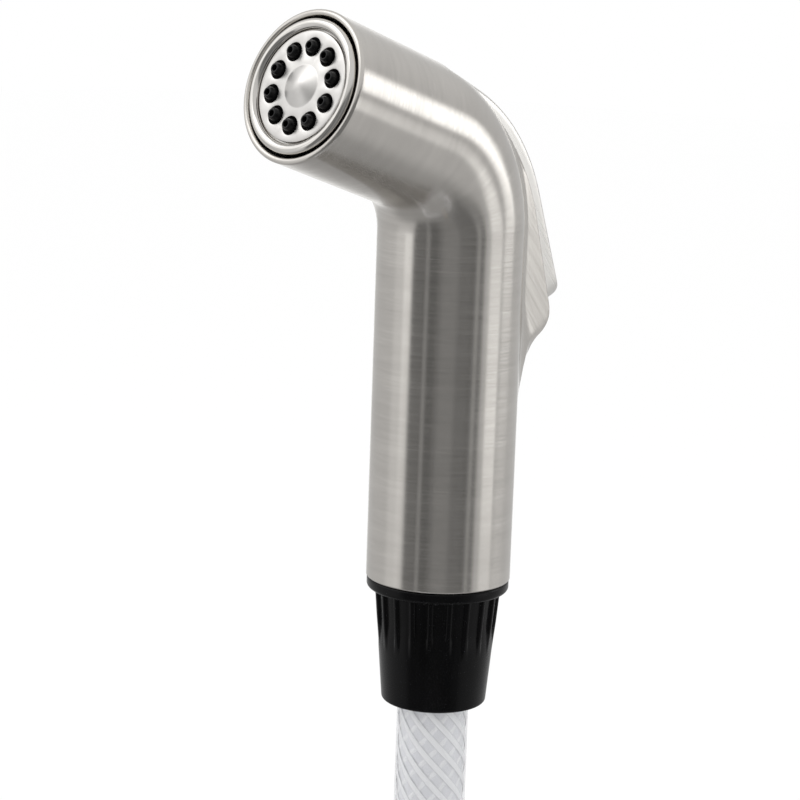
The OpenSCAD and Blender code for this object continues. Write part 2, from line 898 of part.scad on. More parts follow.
module coupling_nut() {
    pitch = 360 / rib_count;
    panel_w = 2 * PI * nut_top_r / rib_count - rib_w;
    taper = (nut_top_r - nut_end_r) / coupling_len;
    panel_lean = atan(taper - rib_depth / rib_len);
    color(black_plastic)
        difference() {
            rotate_extrude()
                polygon([
                    [0, nut_top], [nut_top_r, nut_top],
                    [nut_end_r + taper, 1 - coupling_len], [nut_end_r - 1, -coupling_len],
                    [0, -coupling_len]
                ]);
            for (i = [0:rib_count - 1])
                rotate([0, 0, (i + 0.5) * pitch])
                    translate([nut_top_r - rib_depth, 0, nut_top])
                        rotate([0, panel_lean, 0])
                            translate([0, -panel_w / 2, -rib_len])
                                cube([2, panel_w, rib_len + over]);
            translate([0, 0, shoulder_z])
                cylinder(r = neck_r + run_gap, h = coupling_len);
            translate([0, 0, -coupling_len])
                cylinder(r = shoulder_r, h = coupling_len);
            translate([0, 0, -coupling_len - over])
                cylinder(r = nut_bore, h = coupling_len + over + shoulder_z - shoulder_t);
        }
}

module hose_washer() {
    color(red_rubber)
        translate([0, 0, stem_top])
            washer_disc(neck_r - part_gap, washer_bore, washer_t);
}

module snap_ring() {
    color(steel)
        translate([0, 0, groove_z])
            difference() {
                washer_disc(neck_r - 2 * part_gap, groove_r + run_gap, ring_t);
                translate([0, -1.5, -over])
                    cube([neck_r, 3, ring_t + 2 * over]);
            }
}

// Barbs that hold the hose, from the hose's end down
module barbs(depth) {
    core_r = hose_bore_r - barb_h;
    for (i = [1:4])
        translate([0, 0, -i * barb_pitch])
            cylinder(r1 = core_r, r2 = hose_bore_r, h = 0.8 * barb_pitch);
    translate([0, 0, -depth])
        cylinder(r = core_r, h = depth);
}

module hose_stem() {
    color(brass)
        difference() {
            union() {
                translate([0, 0, hose_top])
                    cylinder(r = stem_r, h = stem_top - hose_top);
                translate([0, 0, hose_top])
                    barbs(ferrule_len + 1);
            }
            translate([0, 0, groove_z])
                washer_disc(stem_r + over, groove_r, ring_t + run_gap);
            translate([0, 0, hose_top - ferrule_len - 2])
                cylinder(r = stem_bore, h = 4 * ferrule_len);
        }
}

// Crimped sleeve over a hose's end, downwards from a rim that laps the end
module ferrule() {
    translate([0, 0, -ferrule_len])
        difference() {
            cylinder(r = ferrule_r, h = ferrule_len + ferrule_wall);
            translate([0, 0, -over])
                cylinder(r = hose_r + run_gap, h = ferrule_len + over);
            cylinder(r = stem_r + touch_gap, h = ferrule_len + 2);
        }
}

module hose_ferrule() {
    color(steel)
        translate([0, 0, hose_top])
            ferrule();
}

module hose_run() {
    color(clear_hose)
        tube_along(run_points, hose_r, hose_sides, [1, 0, 0]);
}

module hose_coil() {
    color(clear_hose)
        translate([coil_c[0], coil_c[1], 0])
            rotate_extrude()
                translate([coil_r - hose_r, surface_z])
                    square([hose_d, coil_top - surface_z]);
}

module hose_tail() {
    color(clear_hose)
        tube_along(tail_points, hose_r, hose_sides, [0, 1, 0]);
}

// Frame of the supply end: Z along the hose's last stretch
module on_supply() {
    translate([tail_x, tail_y, supply_z])
        rotate([0, 90, 0])
            children();
}

module supply_ferrule() {
    color(steel)
        on_supply()
            ferrule();
}

module supply_stem() {
    color(brass)
        on_supply()
            difference() {
                union() {
                    barbs(ferrule_len + 1);
                    cylinder(r = supply_collar_r, h = collar_len);
                    translate([0, 0, collar_len])
                        cylinder(r = supply_flange_r, h = supply_flange_t);
                }
                translate([0, 0, -ferrule_len - 2])
                    cylinder(r = stem_bore, h = 4 * ferrule_len);
            }
}

module supply_nut() {
    color(brass)
        on_supply()
            difference() {
                translate([0, 0, supply_back])
                    rotate([0, 0, 30])
                        cylinder(d = supply_flats / cos(30), h = supply_mouth - supply_back, $fn = 6);
                cylinder(r = supply_collar_r + run_gap, h = supply_mouth);
                translate([0, 0, supply_shoulder])
                    cylinder(r = supply_thread_r + part_gap, h = supply_chamber - supply_shoulder);
                translate([0, 0, supply_shoulder])
                    cylinder(r = supply_thread_r, h = supply_mouth);
            }
}

module supply_washer() {
    color(red_rubber)
        on_supply()
            translate([0, 0, collar_len + supply_flange_t])
                washer_disc(supply_flange_r, washer_bore, supply_washer_t);
}

body_shell();
waterway_body();
flange_ring();
lever();
lever_pin();
valve_stem();
valve_washer();
valve_spring();
valve_seat();
seat_o_ring();
valve_bonnet();
stem_o_ring();
spray_cup();
duct_o_ring();
face_o_ring();
nozzle_insert();
face_plate();
bezel_ring();
flow_regulator();
inlet_screen();
coupling_nut();
hose_washer();
snap_ring();
hose_stem();
hose_ferrule();
hose_run();
hose_coil();
hose_tail();
supply_ferrule();
supply_stem();
supply_nut();
supply_washer();
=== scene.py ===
import bpy
import bmesh
import math
import numpy as np
from mathutils import Matrix, Vector


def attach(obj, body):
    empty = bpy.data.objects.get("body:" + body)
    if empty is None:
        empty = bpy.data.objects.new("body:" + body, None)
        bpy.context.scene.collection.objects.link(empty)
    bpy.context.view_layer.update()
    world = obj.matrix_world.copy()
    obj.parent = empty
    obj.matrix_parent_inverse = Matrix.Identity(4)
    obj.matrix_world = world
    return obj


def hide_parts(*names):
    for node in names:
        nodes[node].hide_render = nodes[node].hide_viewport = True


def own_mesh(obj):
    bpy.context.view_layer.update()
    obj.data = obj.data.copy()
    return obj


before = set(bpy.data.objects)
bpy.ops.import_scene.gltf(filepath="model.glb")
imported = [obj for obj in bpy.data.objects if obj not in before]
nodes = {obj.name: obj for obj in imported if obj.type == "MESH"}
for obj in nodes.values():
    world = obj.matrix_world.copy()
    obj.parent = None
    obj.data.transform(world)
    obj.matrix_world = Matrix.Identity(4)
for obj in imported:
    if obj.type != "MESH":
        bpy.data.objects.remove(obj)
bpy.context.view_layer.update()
mm = 0.001
rad = math.radians
fullTurn = 2 * math.pi


# small helpers

def say(words):
    print("sprayer:", words)


def smooth(edge0, edge1, x):
    t = np.clip((np.asarray(x, float) - edge0) / (edge1 - edge0), 0, 1)
    return t * t * (3 - 2 * t)


def turnedTo(degrees, length=1.0):
    return np.array([math.cos(rad(degrees)), math.sin(rad(degrees))]) * length


def arcPoints(cx, cy, r, start, end, steps):
    return [(cx + r * math.cos(rad(start + (end - start) * i / steps)),
             cy + r * math.sin(rad(start + (end - start) * i / steps))) for i in range(steps + 1)]


def addObject(name, data):
    piece = bpy.data.objects.new(name, data)
    bpy.context.scene.collection.objects.link(piece)
    return piece


def addMesh(name, mesh):
    for poly in mesh.polygons:
        poly.use_smooth = True
    return addObject(name, mesh)


def evaluatedMesh(piece):
    bpy.context.view_layer.update()
    return bpy.data.meshes.new_from_object(piece.evaluated_get(bpy.context.evaluated_depsgraph_get()))


def makePiece(name, verts, faces, merge, uvs=None, mask=None):
    # verts and merge distance in millimetres; a map point and a mask value for each vertex, or neither
    mesh = bpy.data.meshes.new(name)
    mesh.from_pydata([tuple(v) for v in np.asarray(verts, float) * mm], [], [tuple(f) for f in faces])
    if uvs is not None:
        layer = mesh.uv_layers.new(name="Along")
        loops = np.empty(len(mesh.loops), int)
        mesh.loops.foreach_get("vertex_index", loops)
        layer.data.foreach_set("uv", np.asarray(uvs, float)[loops].ravel())
        mesh.attributes.new("sanded", "FLOAT", "POINT").data.foreach_set("value", np.asarray(mask, float))
    bm = bmesh.new()
    bm.from_mesh(mesh)
    bmesh.ops.remove_doubles(bm, verts=bm.verts, dist=merge * mm)
    bmesh.ops.recalc_face_normals(bm, faces=bm.faces)
    bm.to_mesh(mesh)
    bm.free()
    return addMesh(name, mesh)


def creaseByAngle(piece, degrees):
    # edges sharper than this stay sharp
    bm = bmesh.new()
    bm.from_mesh(piece.data)
    for edge in bm.edges:
        edge.smooth = len(edge.link_faces) != 2 or edge.calc_face_angle(0) < rad(degrees)
    bm.to_mesh(piece.data)
    bm.free()


def gridFaces(rows, cols, wrap=False):
    faces = []
    for i in range(rows - 1):
        for j in range(cols if wrap else cols - 1):
            k = (j + 1) % cols
            faces.append((i * cols + j, i * cols + k, (i + 1) * cols + k, (i + 1) * cols + j))
    return faces


def turnedFaces(around, cols):
    # quads of a closed line of points repeated all the way round
    faces = []
    for k in range(around):
        n = (k + 1) % around
        for j in range(cols):
            m = (j + 1) % cols
            faces.append((k * cols + j, n * cols + j, n * cols + m, k * cols + m))
    return faces


def lathe(name, profile, place, steps, crease=40):
    # closed profile of (radius, height) turned about local Z, then put in place
    verts = [place @ Vector((r * math.cos(a), r * math.sin(a), z))
             for a in np.arange(steps) * fullTurn / steps for r, z in profile]
    piece = makePiece(name, verts, turnedFaces(steps, len(profile)), 0.0005)
    creaseByAngle(piece, crease)
    return piece


def dress(piece, finish, body, slot, *replaced):
    # material, moving body, slot (not used) and the CAD nodes that the piece stands for
    if not piece.data.materials:
        piece.data.materials.append(mats[finish])
    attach(piece, body)
    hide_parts(*replaced)


# camera

view = {"azimuth": 42.513, "elevation": 10.553, "roll": 1.971, "lens": 99.1, "sensor": 36,
        "place": (0.273872, -0.311316, 0.113869)}


def addCamera():
    a, e, ro = rad(view["azimuth"]), rad(view["elevation"]), rad(view["roll"])
    back = Vector((math.sin(a) * math.cos(e), -math.cos(a) * math.cos(e), math.sin(e)))
    side = Vector((math.cos(a), math.sin(a), 0))
    up = back.cross(side)
    right = math.cos(ro) * side + math.sin(ro) * up
    top = -math.sin(ro) * side + math.cos(ro) * up
    camera = addObject("Camera", bpy.data.cameras.new("Camera"))
    camera.data.lens = view["lens"]
    camera.data.sensor_width = view["sensor"]
    camera.data.clip_start = 0.01
    camera.matrix_world = Matrix.Translation(view["place"]) @ Matrix((right, top, back)).transposed().to_4x4()
    bpy.context.scene.camera = camera


addCamera()
bpy.context.scene.view_settings.view_transform = "Standard"
say("camera placed")


# node helpers

def feed(tree, socket, value):
    # a plain value or another node's output goes into a socket
    if isinstance(value, bpy.types.NodeSocket):
        tree.links.new(value, socket)
    else:
        socket.default_value = (*value, 1) if socket.type == "RGBA" else value


def feedAll(tree, node, values):
    for key, value in values.items():
        if value is not None:
            feed(tree, node.inputs[key], value)


def addNode(tree, kind, values=None, **props):
    node = tree.nodes.new(kind)
    for key, value in props.items():
        setattr(node, key, value)
    feedAll(tree, node, values or {})
    return node


def addMath(tree, operation, value, *others):
    # with more than two values, each next one goes with what the others gave
    for other in others or (None,):
        value = addNode(tree, "ShaderNodeMath", {0: value, 1: other}, operation=operation).outputs[0]
    return value


def addVector(tree, operation, a, b=None, scale=None):
    values = {0: a, 1: b, "Scale": scale}
    return addNode(tree, "ShaderNodeVectorMath", values, operation=operation).outputs[0]


def addMix(tree, share, a, b, kind="RGBA"):
    first, out = {"FLOAT": (2, 0), "VECTOR": (4, 1), "RGBA": (6, 2)}[kind]
    return addNode(tree, "ShaderNodeMix", {0: share, first: a, first + 1: b}, data_type=kind).outputs[out]


def addRange(tree, value, low, high, toLow, toHigh, **props):
    return addNode(tree, "ShaderNodeMapRange", {"Value": value, "From Min": low, "From Max": high,
                                                "To Min": toLow, "To Max": toHigh}, **props).outputs[0]


def addSplit(tree, vector):
    return addNode(tree, "ShaderNodeSeparateXYZ", {0: vector}).outputs


def addJoin(tree, x, y, z):
    return addNode(tree, "ShaderNodeCombineXYZ", {0: x, 1: y, 2: z}).outputs[0]


def newGroup(name, ins, outs, kind="ShaderNodeTree"):
    # every socket has its kind, or the number that it starts from
    group = bpy.data.node_groups.new(name, kind)
    for side, sockets in (("INPUT", ins), ("OUTPUT", outs)):
        for label, start in sockets.items():
            sort = start if isinstance(start, str) else "Int" if isinstance(start, int) else "Float"
            socket = group.interface.new_socket(label, in_out=side, socket_type="NodeSocket" + sort)
            if sort != start:
                socket.default_value = start
    return group, group.nodes.new("NodeGroupInput"), group.nodes.new("NodeGroupOutput")


def useGroup(tree, group, first, **others):
    return addNode(tree, "ShaderNodeGroup", {0: first, **others}, node_tree=group).outputs


def makeBrushGroup():
    # sanded metal: fine lines, broad uneven bands and a few longer scratches; Y runs across the lines
    group, start, end = newGroup("sandedLines", {"Vector": "Vector", "Along": 1.0, "Across": 3500.0},
                                 {"Lines": "Float", "Bands": "Float", "Scratches": "Float"})
    split = addSplit(group, start.outputs["Vector"])

    def stretched(alongScale, acrossScale, detail):
        sizes = (("Along", alongScale), ("Across", acrossScale), ("Along", alongScale))
        parts = [addMath(group, "MULTIPLY", part, start.outputs[size], scale)
                 for part, (size, scale) in zip(split, sizes)]
        values = {"Vector": addJoin(group, *parts), "Scale": 1.0, "Detail": detail, "Roughness": 0.6}
        return addNode(group, "ShaderNodeTexNoise", values).outputs["Fac"]

    scratches = addRange(group, stretched(2.2, 0.7, 1.0), 0.66, 0.74, 0.0, 1.0)
    feedAll(group, end, {"Lines": stretched(1.0, 1.0, 3.0), "Bands": stretched(0.5, 0.1, 3.0),
                         "Scratches": scratches})
    return group


def makeRingGroup():
    # turns a position into one that follows rings round Z: radius in Y, the way round in X and Z
    group, start, end = newGroup("ringVector", {"Vector": "Vector"}, {"Vector": "Vector"})
    x, y, z = addSplit(group, start.outputs["Vector"])
    squares = addMath(group, "ADD", addMath(group, "MULTIPLY", x, x), addMath(group, "MULTIPLY", y, y))
    radius = addMath(group, "MAXIMUM", addMath(group, "SQRT", squares), 0.0001)
    around = [addMath(group, "DIVIDE", part, radius) for part in (x, y)]
    feed(group, end.inputs[0], addJoin(group, around[0], addMath(group, "ADD", radius, z), around[1]))
    return group


def makeWrapGroup():
    # turns the shell's own map (share of the way round, metres along) into a vector without a seam
    group, start, end = newGroup("wrapVector", {"Vector": "Vector"}, {"Vector": "Vector"})
    around, along, _ = addSplit(group, start.outputs["Vector"])
    angle = addMath(group, "MULTIPLY", around, fullTurn)
    cosine, sine = addMath(group, "COSINE", angle), addMath(group, "SINE", angle)
    feed(group, end.inputs[0], addJoin(group, cosine, along, sine))
    return group


def makeGrainGroup():
    # moulded skin: fine grain, slow unevenness and a few specks
    group, start, end = newGroup("mouldedSkin", {"Vector": "Vector", "Grain": 2500.0},
                                 {"Grain": "Float", "Cloud": "Float", "Specks": "Float"})

    def noise(scale, detail):
        values = {"Vector": start.outputs["Vector"], "Scale": scale, "Detail": detail}
        return addNode(group, "ShaderNodeTexNoise", values).outputs["Fac"]

    feedAll(group, end, {"Grain": noise(start.outputs["Grain"], 2.0), "Cloud": noise(90.0, 3.0),
                         "Specks": addRange(group, noise(900.0, 0.0), 0.7, 0.74, 0.0, 1.0)})
    return group


brushGroup = makeBrushGroup()
ringGroup = makeRingGroup()
wrapGroup = makeWrapGroup()
grainGroup = makeGrainGroup()


# sizes of the bent tube, which the finishes follow too

shell = {"r": 14.0, "bore": 12.8, "rimZ": 2.2, "bendZ": 69.4, "bendR": 20.0, "bendDeg": 72.5, "headLen": 28.0,
         "roll": 0.55, "lip": 0.6, "windowLow": 51.64, "windowHigh": 95.06, "windowCols": 9, "crease": 42,
         "spacing": ((2.6, 30, 1.2), (30, 60, 0.6), (60, 68, 1.0)), "bendStep": 1.8, "headStep": 1.1}
bendEnd = shell["bendZ"] + shell["bendR"] * rad(shell["bendDeg"])


def headPlace():
    # the spray face's own frame: local Z is the way the water leaves
    a = rad(shell["bendDeg"])
    out = Vector((0, math.cos(a), math.sin(a)))
    axis = Vector((0, -math.sin(a), math.cos(a)))
    place = Matrix((out, axis.cross(out), axis)).transposed().to_4x4()
    place.translation = Vector((0, -shell["bendR"], shell["bendZ"])) + shell["bendR"] * out
    return place


# materials

shellLook = {"along": 1.3, "across": 3200.0, "bump": 0.17, "rough": 0.22,
             "pale": (0.64, 0.615, 0.58), "dark": (0.55, 0.528, 0.497)}
leverLook = {"along": 60.0, "across": 2600.0, "bump": 0.14, "rough": 0.3,
             "pale": (0.79, 0.775, 0.745), "dark": (0.71, 0.695, 0.665)}
plateLook = {"along": 1.2, "across": 4200.0, "bump": 0.16, "rough": 0.36,
             "pale": (0.70, 0.685, 0.665), "dark": (0.63, 0.615, 0.595)}
beadLook = {"along": 0.8, "across": 2500.0, "bump": 0.04, "rough": 0.13, "spread": 0.04, "scratch": 0.1,
            "pale": (0.70, 0.68, 0.65), "dark": (0.64, 0.62, 0.59)}
sanding = {"slant": -40, "pocketStretch": (45.0, 0.8, 45.0), "aniso": 0.85, "anisoTurn": 0.25,
           "depth": 0.00003, "brighter": 1.12}
moulding = {"depth": 0.00005, "speckShare": 0.12, "spread": 0.06}
hoseLook = {"tube": ((0.71, 0.715, 0.745), (0.79, 0.795, 0.82)),
            "clear": ((0.86, 0.87, 0.9), (0.93, 0.94, 0.96)),
            # the strands' edge colour below is painted shade along their edges
            "strand": ((0.80, 0.805, 0.82), (0.9, 0.905, 0.915)), "strandEdgeShade": (0.52, 0.525, 0.55),
            "coat": {"Coat Weight": 1.0, "Coat Roughness": 0.1}, "depth": 0.00004}


def newMaterial(name):
    mat = bpy.data.materials.new(name)
    mat.use_nodes = True
    return mat, mat.node_tree, mat.node_tree.nodes["Principled BSDF"]


def finishShader(tree, shader, colour, pattern, rough, bump, depth, others):
    # one pattern makes the roughness go up and down, and stands out from the surface
    relief = {"Height": pattern, "Strength": bump, "Distance": depth}
    feedAll(tree, shader, {"Base Color": colour, "Roughness": addRange(tree, pattern, 0.3, 0.7, *rough),
                           "Normal": addNode(tree, "ShaderNodeBump", relief).outputs[0], **others})


def plainCoords(tree):
    return addNode(tree, "ShaderNodeTexCoord").outputs["Object"]


def mapCoords(tree):
    return addNode(tree, "ShaderNodeUVMap", uv_map="Along").outputs[0]


def slantCoords(tree):
    values = {"Vector": plainCoords(tree), "Rotation": (rad(sanding["slant"]), 0, 0)}
    return addNode(tree, "ShaderNodeMapping", values).outputs[0]


def shellCoords(tree):
    # round the tube, so that lights stretch along it; on the slant in the pocket
    pocket = addNode(tree, "ShaderNodeAttribute", attribute_name="sanded").outputs["Fac"]
    wrap = useGroup(tree, wrapGroup, mapCoords(tree))[0]
    longer = addVector(tree, "MULTIPLY", slantCoords(tree), sanding["pocketStretch"])
    return addMix(tree, addMath(tree, "GREATER_THAN", pocket, 0.5), wrap, longer, "VECTOR")


def headCoords(tree):
    # rings round the spray face's own axis
    values = {"Vector": plainCoords(tree), "Location": tuple(headPlace().translation * mm),
              "Rotation": (rad(shell["bendDeg"]), 0, 0)}
    own = addNode(tree, "ShaderNodeMapping", values, vector_type="TEXTURE").outputs[0]
    return useGroup(tree, ringGroup, own)[0]


def makeSanded(name, coords, along, across, bump, rough, pale, dark, spread=0.05, scratch=0.18):
    mat, tree, shader = newMaterial(name)
    lines, bands, scratches = useGroup(tree, brushGroup, coords(tree), Along=along, Across=across)
    broad = addMath(tree, "MULTIPLY", addRange(tree, bands, 0.3, 0.7, 0.0, 1.0), 0.6)
    fine = addMath(tree, "MULTIPLY", addRange(tree, lines, 0.25, 0.75, 0.0, 1.0), 0.4)
    colour = addMix(tree, addMath(tree, "ADD", broad, fine), dark, pale)
    bright = tuple(min(1.0, c * sanding["brighter"]) for c in pale)
    colour = addMix(tree, addMath(tree, "MULTIPLY", scratches, scratch), colour, bright)
    roughness = (rough - spread, rough + spread)
    finishShader(tree, shader, colour, lines, roughness, bump, sanding["depth"], {"Metallic": 1.0})
    return mat


def makeShellNickel():
    mat = makeSanded("brushedNickel", shellCoords, **shellLook)
    tree = mat.node_tree
    tangent = addNode(tree, "ShaderNodeTangent", direction_type="UV_MAP", uv_map="Along").outputs[0]
    feedAll(tree, tree.nodes["Principled BSDF"], {"Anisotropic": sanding["aniso"], "Tangent": tangent,
                                                  "Anisotropic Rotation": sanding["anisoTurn"]})
    return mat


def makeMoulded(name, colour, pale, rough, grain=2500.0, bump=0.12, specular=0.5):
    mat, tree, shader = newMaterial(name)
    fine, cloud, specks = useGroup(tree, grainGroup, plainCoords(tree), Grain=grain)
    mix = addMix(tree, addRange(tree, cloud, 0.35, 0.65, 0.0, 1.0), colour, pale)
    speckColour = tuple(min(1.0, c * 2.0) for c in pale)
    mix = addMix(tree, addMath(tree, "MULTIPLY", specks, moulding["speckShare"]), mix, speckColour)
    roughness = (rough - moulding["spread"], rough + moulding["spread"])
    others = {"Specular IOR Level": specular}
    finishShader(tree, shader, mix, fine, roughness, bump, moulding["depth"], others)
    return mat


def makeTurned(name, colour, pale, rough):
    # lathe-turned metal
    mat, tree, shader = newMaterial(name)
    lines, bands, _ = useGroup(tree, brushGroup, plainCoords(tree), Along=120.0, Across=2600.0)
    mix = addMix(tree, bands, colour, pale)
    roughness = (rough - 0.06, rough + 0.08)
    finishShader(tree, shader, mix, lines, roughness, 0.1, sanding["depth"], {"Metallic": 1.0})
    return mat


def makeHoseTube():
    mat, tree, shader = newMaterial("hoseTube")
    fine, cloud, _ = useGroup(tree, grainGroup, plainCoords(tree), Grain=1200.0)
    mix = addMix(tree, cloud, *hoseLook["tube"])
    finishShader(tree, shader, mix, fine, (0.3, 0.42), 0.05, hoseLook["depth"], hoseLook["coat"])
    return mat


def makeHoseStrand():
    # fibres along each strand, and painted shade: a darker line along each strand's edges, where two strands
    # meet
    mat, tree, shader = newMaterial("braidStrand")
    along = mapCoords(tree)
    fibres = useGroup(tree, brushGroup, along, Along=6.0, Across=9.0)[0]
    across = addMath(tree, "FRACT", addMath(tree, "ADD", addSplit(tree, along)[1], 0.5))
    aside = addMath(tree, "ABSOLUTE", addMath(tree, "SUBTRACT", across, 0.5))
    # painted shade: the colour darkens towards both edges of each strand
    edge = addRange(tree, aside, 0.38, 0.48, 0.0, 0.8)
    colour = addMix(tree, edge, addMix(tree, fibres, *hoseLook["strand"]), hoseLook["strandEdgeShade"])
    finishShader(tree, shader, colour, fibres, (0.35, 0.5), 0.2, hoseLook["depth"], hoseLook["coat"])
    return mat


def makeHoseClear():
    mat, tree, shader = newMaterial("clearSleeve")
    fine, cloud, _ = useGroup(tree, grainGroup, plainCoords(tree), Grain=300.0)
    facing = addNode(tree, "ShaderNodeLayerWeight", {"Blend": 0.3}).outputs["Facing"]
    feedAll(tree, shader, {"Base Color": addMix(tree, cloud, *hoseLook["clear"]), "IOR": 1.5,
                           "Roughness": addRange(tree, fine, 0.3, 0.7, 0.08, 0.14),
                           "Alpha": addRange(tree, facing, 0.1, 0.95, 0.1, 0.6)})
    return mat


mats = {
    "shell": makeShellNickel(),
    "lever": makeSanded("brushedLever", slantCoords, **leverLook),
    "plate": makeSanded("brushedPlate", headCoords, **plateLook),
    "polished": makeSanded("polishedNickel", headCoords, **beadLook),
    "greyPlastic": makeMoulded("greyPlastic", (0.36, 0.37, 0.39), (0.42, 0.43, 0.45), 0.5),
    "blackPlastic": makeMoulded("blackPlastic", (0.0012, 0.0012, 0.0014), (0.0022, 0.0022, 0.0026), 0.24,
                                grain=5000.0, bump=0.03, specular=0.14),
    "whitePlastic": makeMoulded("whitePlastic", (0.68, 0.68, 0.64), (0.76, 0.76, 0.72), 0.45),
    "blackRubber": makeMoulded("blackRubber", (0.0012, 0.0012, 0.0014), (0.0025, 0.0025, 0.003), 0.3,
                               grain=1800.0, specular=0.3),
    "redRubber": makeMoulded("redRubber", (0.2, 0.05, 0.035), (0.28, 0.08, 0.055), 0.6, grain=1800.0),
    "brass": makeTurned("turnedBrass", (0.62, 0.44, 0.2), (0.74, 0.56, 0.3), 0.3),
    "steel": makeTurned("brightSteel", (0.48, 0.48, 0.49), (0.6, 0.6, 0.61), 0.28),
    "hoseTube": makeHoseTube(),
    "hoseStrand": makeHoseStrand(),
    "hoseClear": makeHoseClear(),
}
say("materials made")


# hose

hose = {"d": 14.0, "tubeR": 6.55, "top": -12.3, "dropEnd": -58.0, "bendR": 56.0, "coilR": 72.0, "coilX": 72.0,
        "coilY": -56.0, "coilZ": -114.0, "pitch": 14.4, "turns": 2.25, "endX": 129.0, "endZ": -143.1,
        "step": 2.4, "strands": 10, "strandW": 1.35, "strandH": 0.34, "slant": 42.0, "braidSteps": 620,
        "braidGap": 0.04}


def hosePath():
    # straight down, a quarter bend, then the coil, whose turns step down by one pitch each, and a short end
    c = hose
    points = [(0, 0, z) for z in np.linspace(c["top"], c["dropEnd"], 12)]
    for a in np.linspace(0, 90, 13)[1:]:
        points.append((0, -c["bendR"] * (1 - math.cos(rad(a))), c["dropEnd"] - c["bendR"] * math.sin(rad(a))))
    endZ = c["coilZ"] - c["turns"] * c["pitch"]
    topZ = endZ + 2 * c["pitch"]
    steps = int(40 * c["turns"])
    for i in range(1, steps + 1):
        turned = 360 * c["turns"] * i / steps
        angle = 180 + turned
        level = topZ + (c["coilZ"] - topZ) * float(1 - smooth(0, 90, turned))
        level -= sum(c["pitch"] * float(smooth(start, start + 90, angle)) for start in (270, 630))
        points.append((c["coilX"] + c["coilR"] * math.cos(rad(angle)),
                       c["coilY"] + c["coilR"] * math.sin(rad(angle)), level))
    lastX, lastY = points[-1][:2]
    for t in np.linspace(0, 1, 13)[1:]:
        points.append((lastX + (c["endX"] - lastX) * t, lastY,
                       endZ + (c["endZ"] - endZ) * float(smooth(0.1, 0.9, t))))
    return np.array(points, float)


def evenPath(points, step):
    gaps = np.linalg.norm(np.diff(points, axis=0), axis=1)
    run = np.concatenate([[0], np.cumsum(gaps)])
    at = np.linspace(0, run[-1], int(run[-1] / step) + 1)
    path = np.stack([np.interp(at, run, points[:, k]) for k in range(3)], 1)
    for _ in range(3):
        path[1:-1] = (path[:-2] + 2 * path[1:-1] + path[2:]) / 4
    return path, run[-1]


def tubeAlong(name, path, r, sides):
    # round tube with closed ends; its rings turn as little as they can from one to the next
    tangents = np.gradient(path, axis=0)
    tangents /= np.linalg.norm(tangents, axis=1)[:, None]
    normal = np.array([1.0, 0, 0])
    verts = []
    for middle, along in zip(path, tangents):
        normal = normal - along * np.dot(normal, along)
        normal /= np.linalg.norm(normal)
        aside = np.cross(along, normal)
        verts += [middle + r * math.cos(a) * normal + r * math.sin(a) * aside
                  for a in fullTurn * np.arange(sides) / sides]
    faces = gridFaces(len(path), sides, wrap=True)
    faces += [range(sides)[::-1], range((len(path) - 1) * sides, len(path) * sides)]
    return makePiece(name, verts, faces, 0.0001)


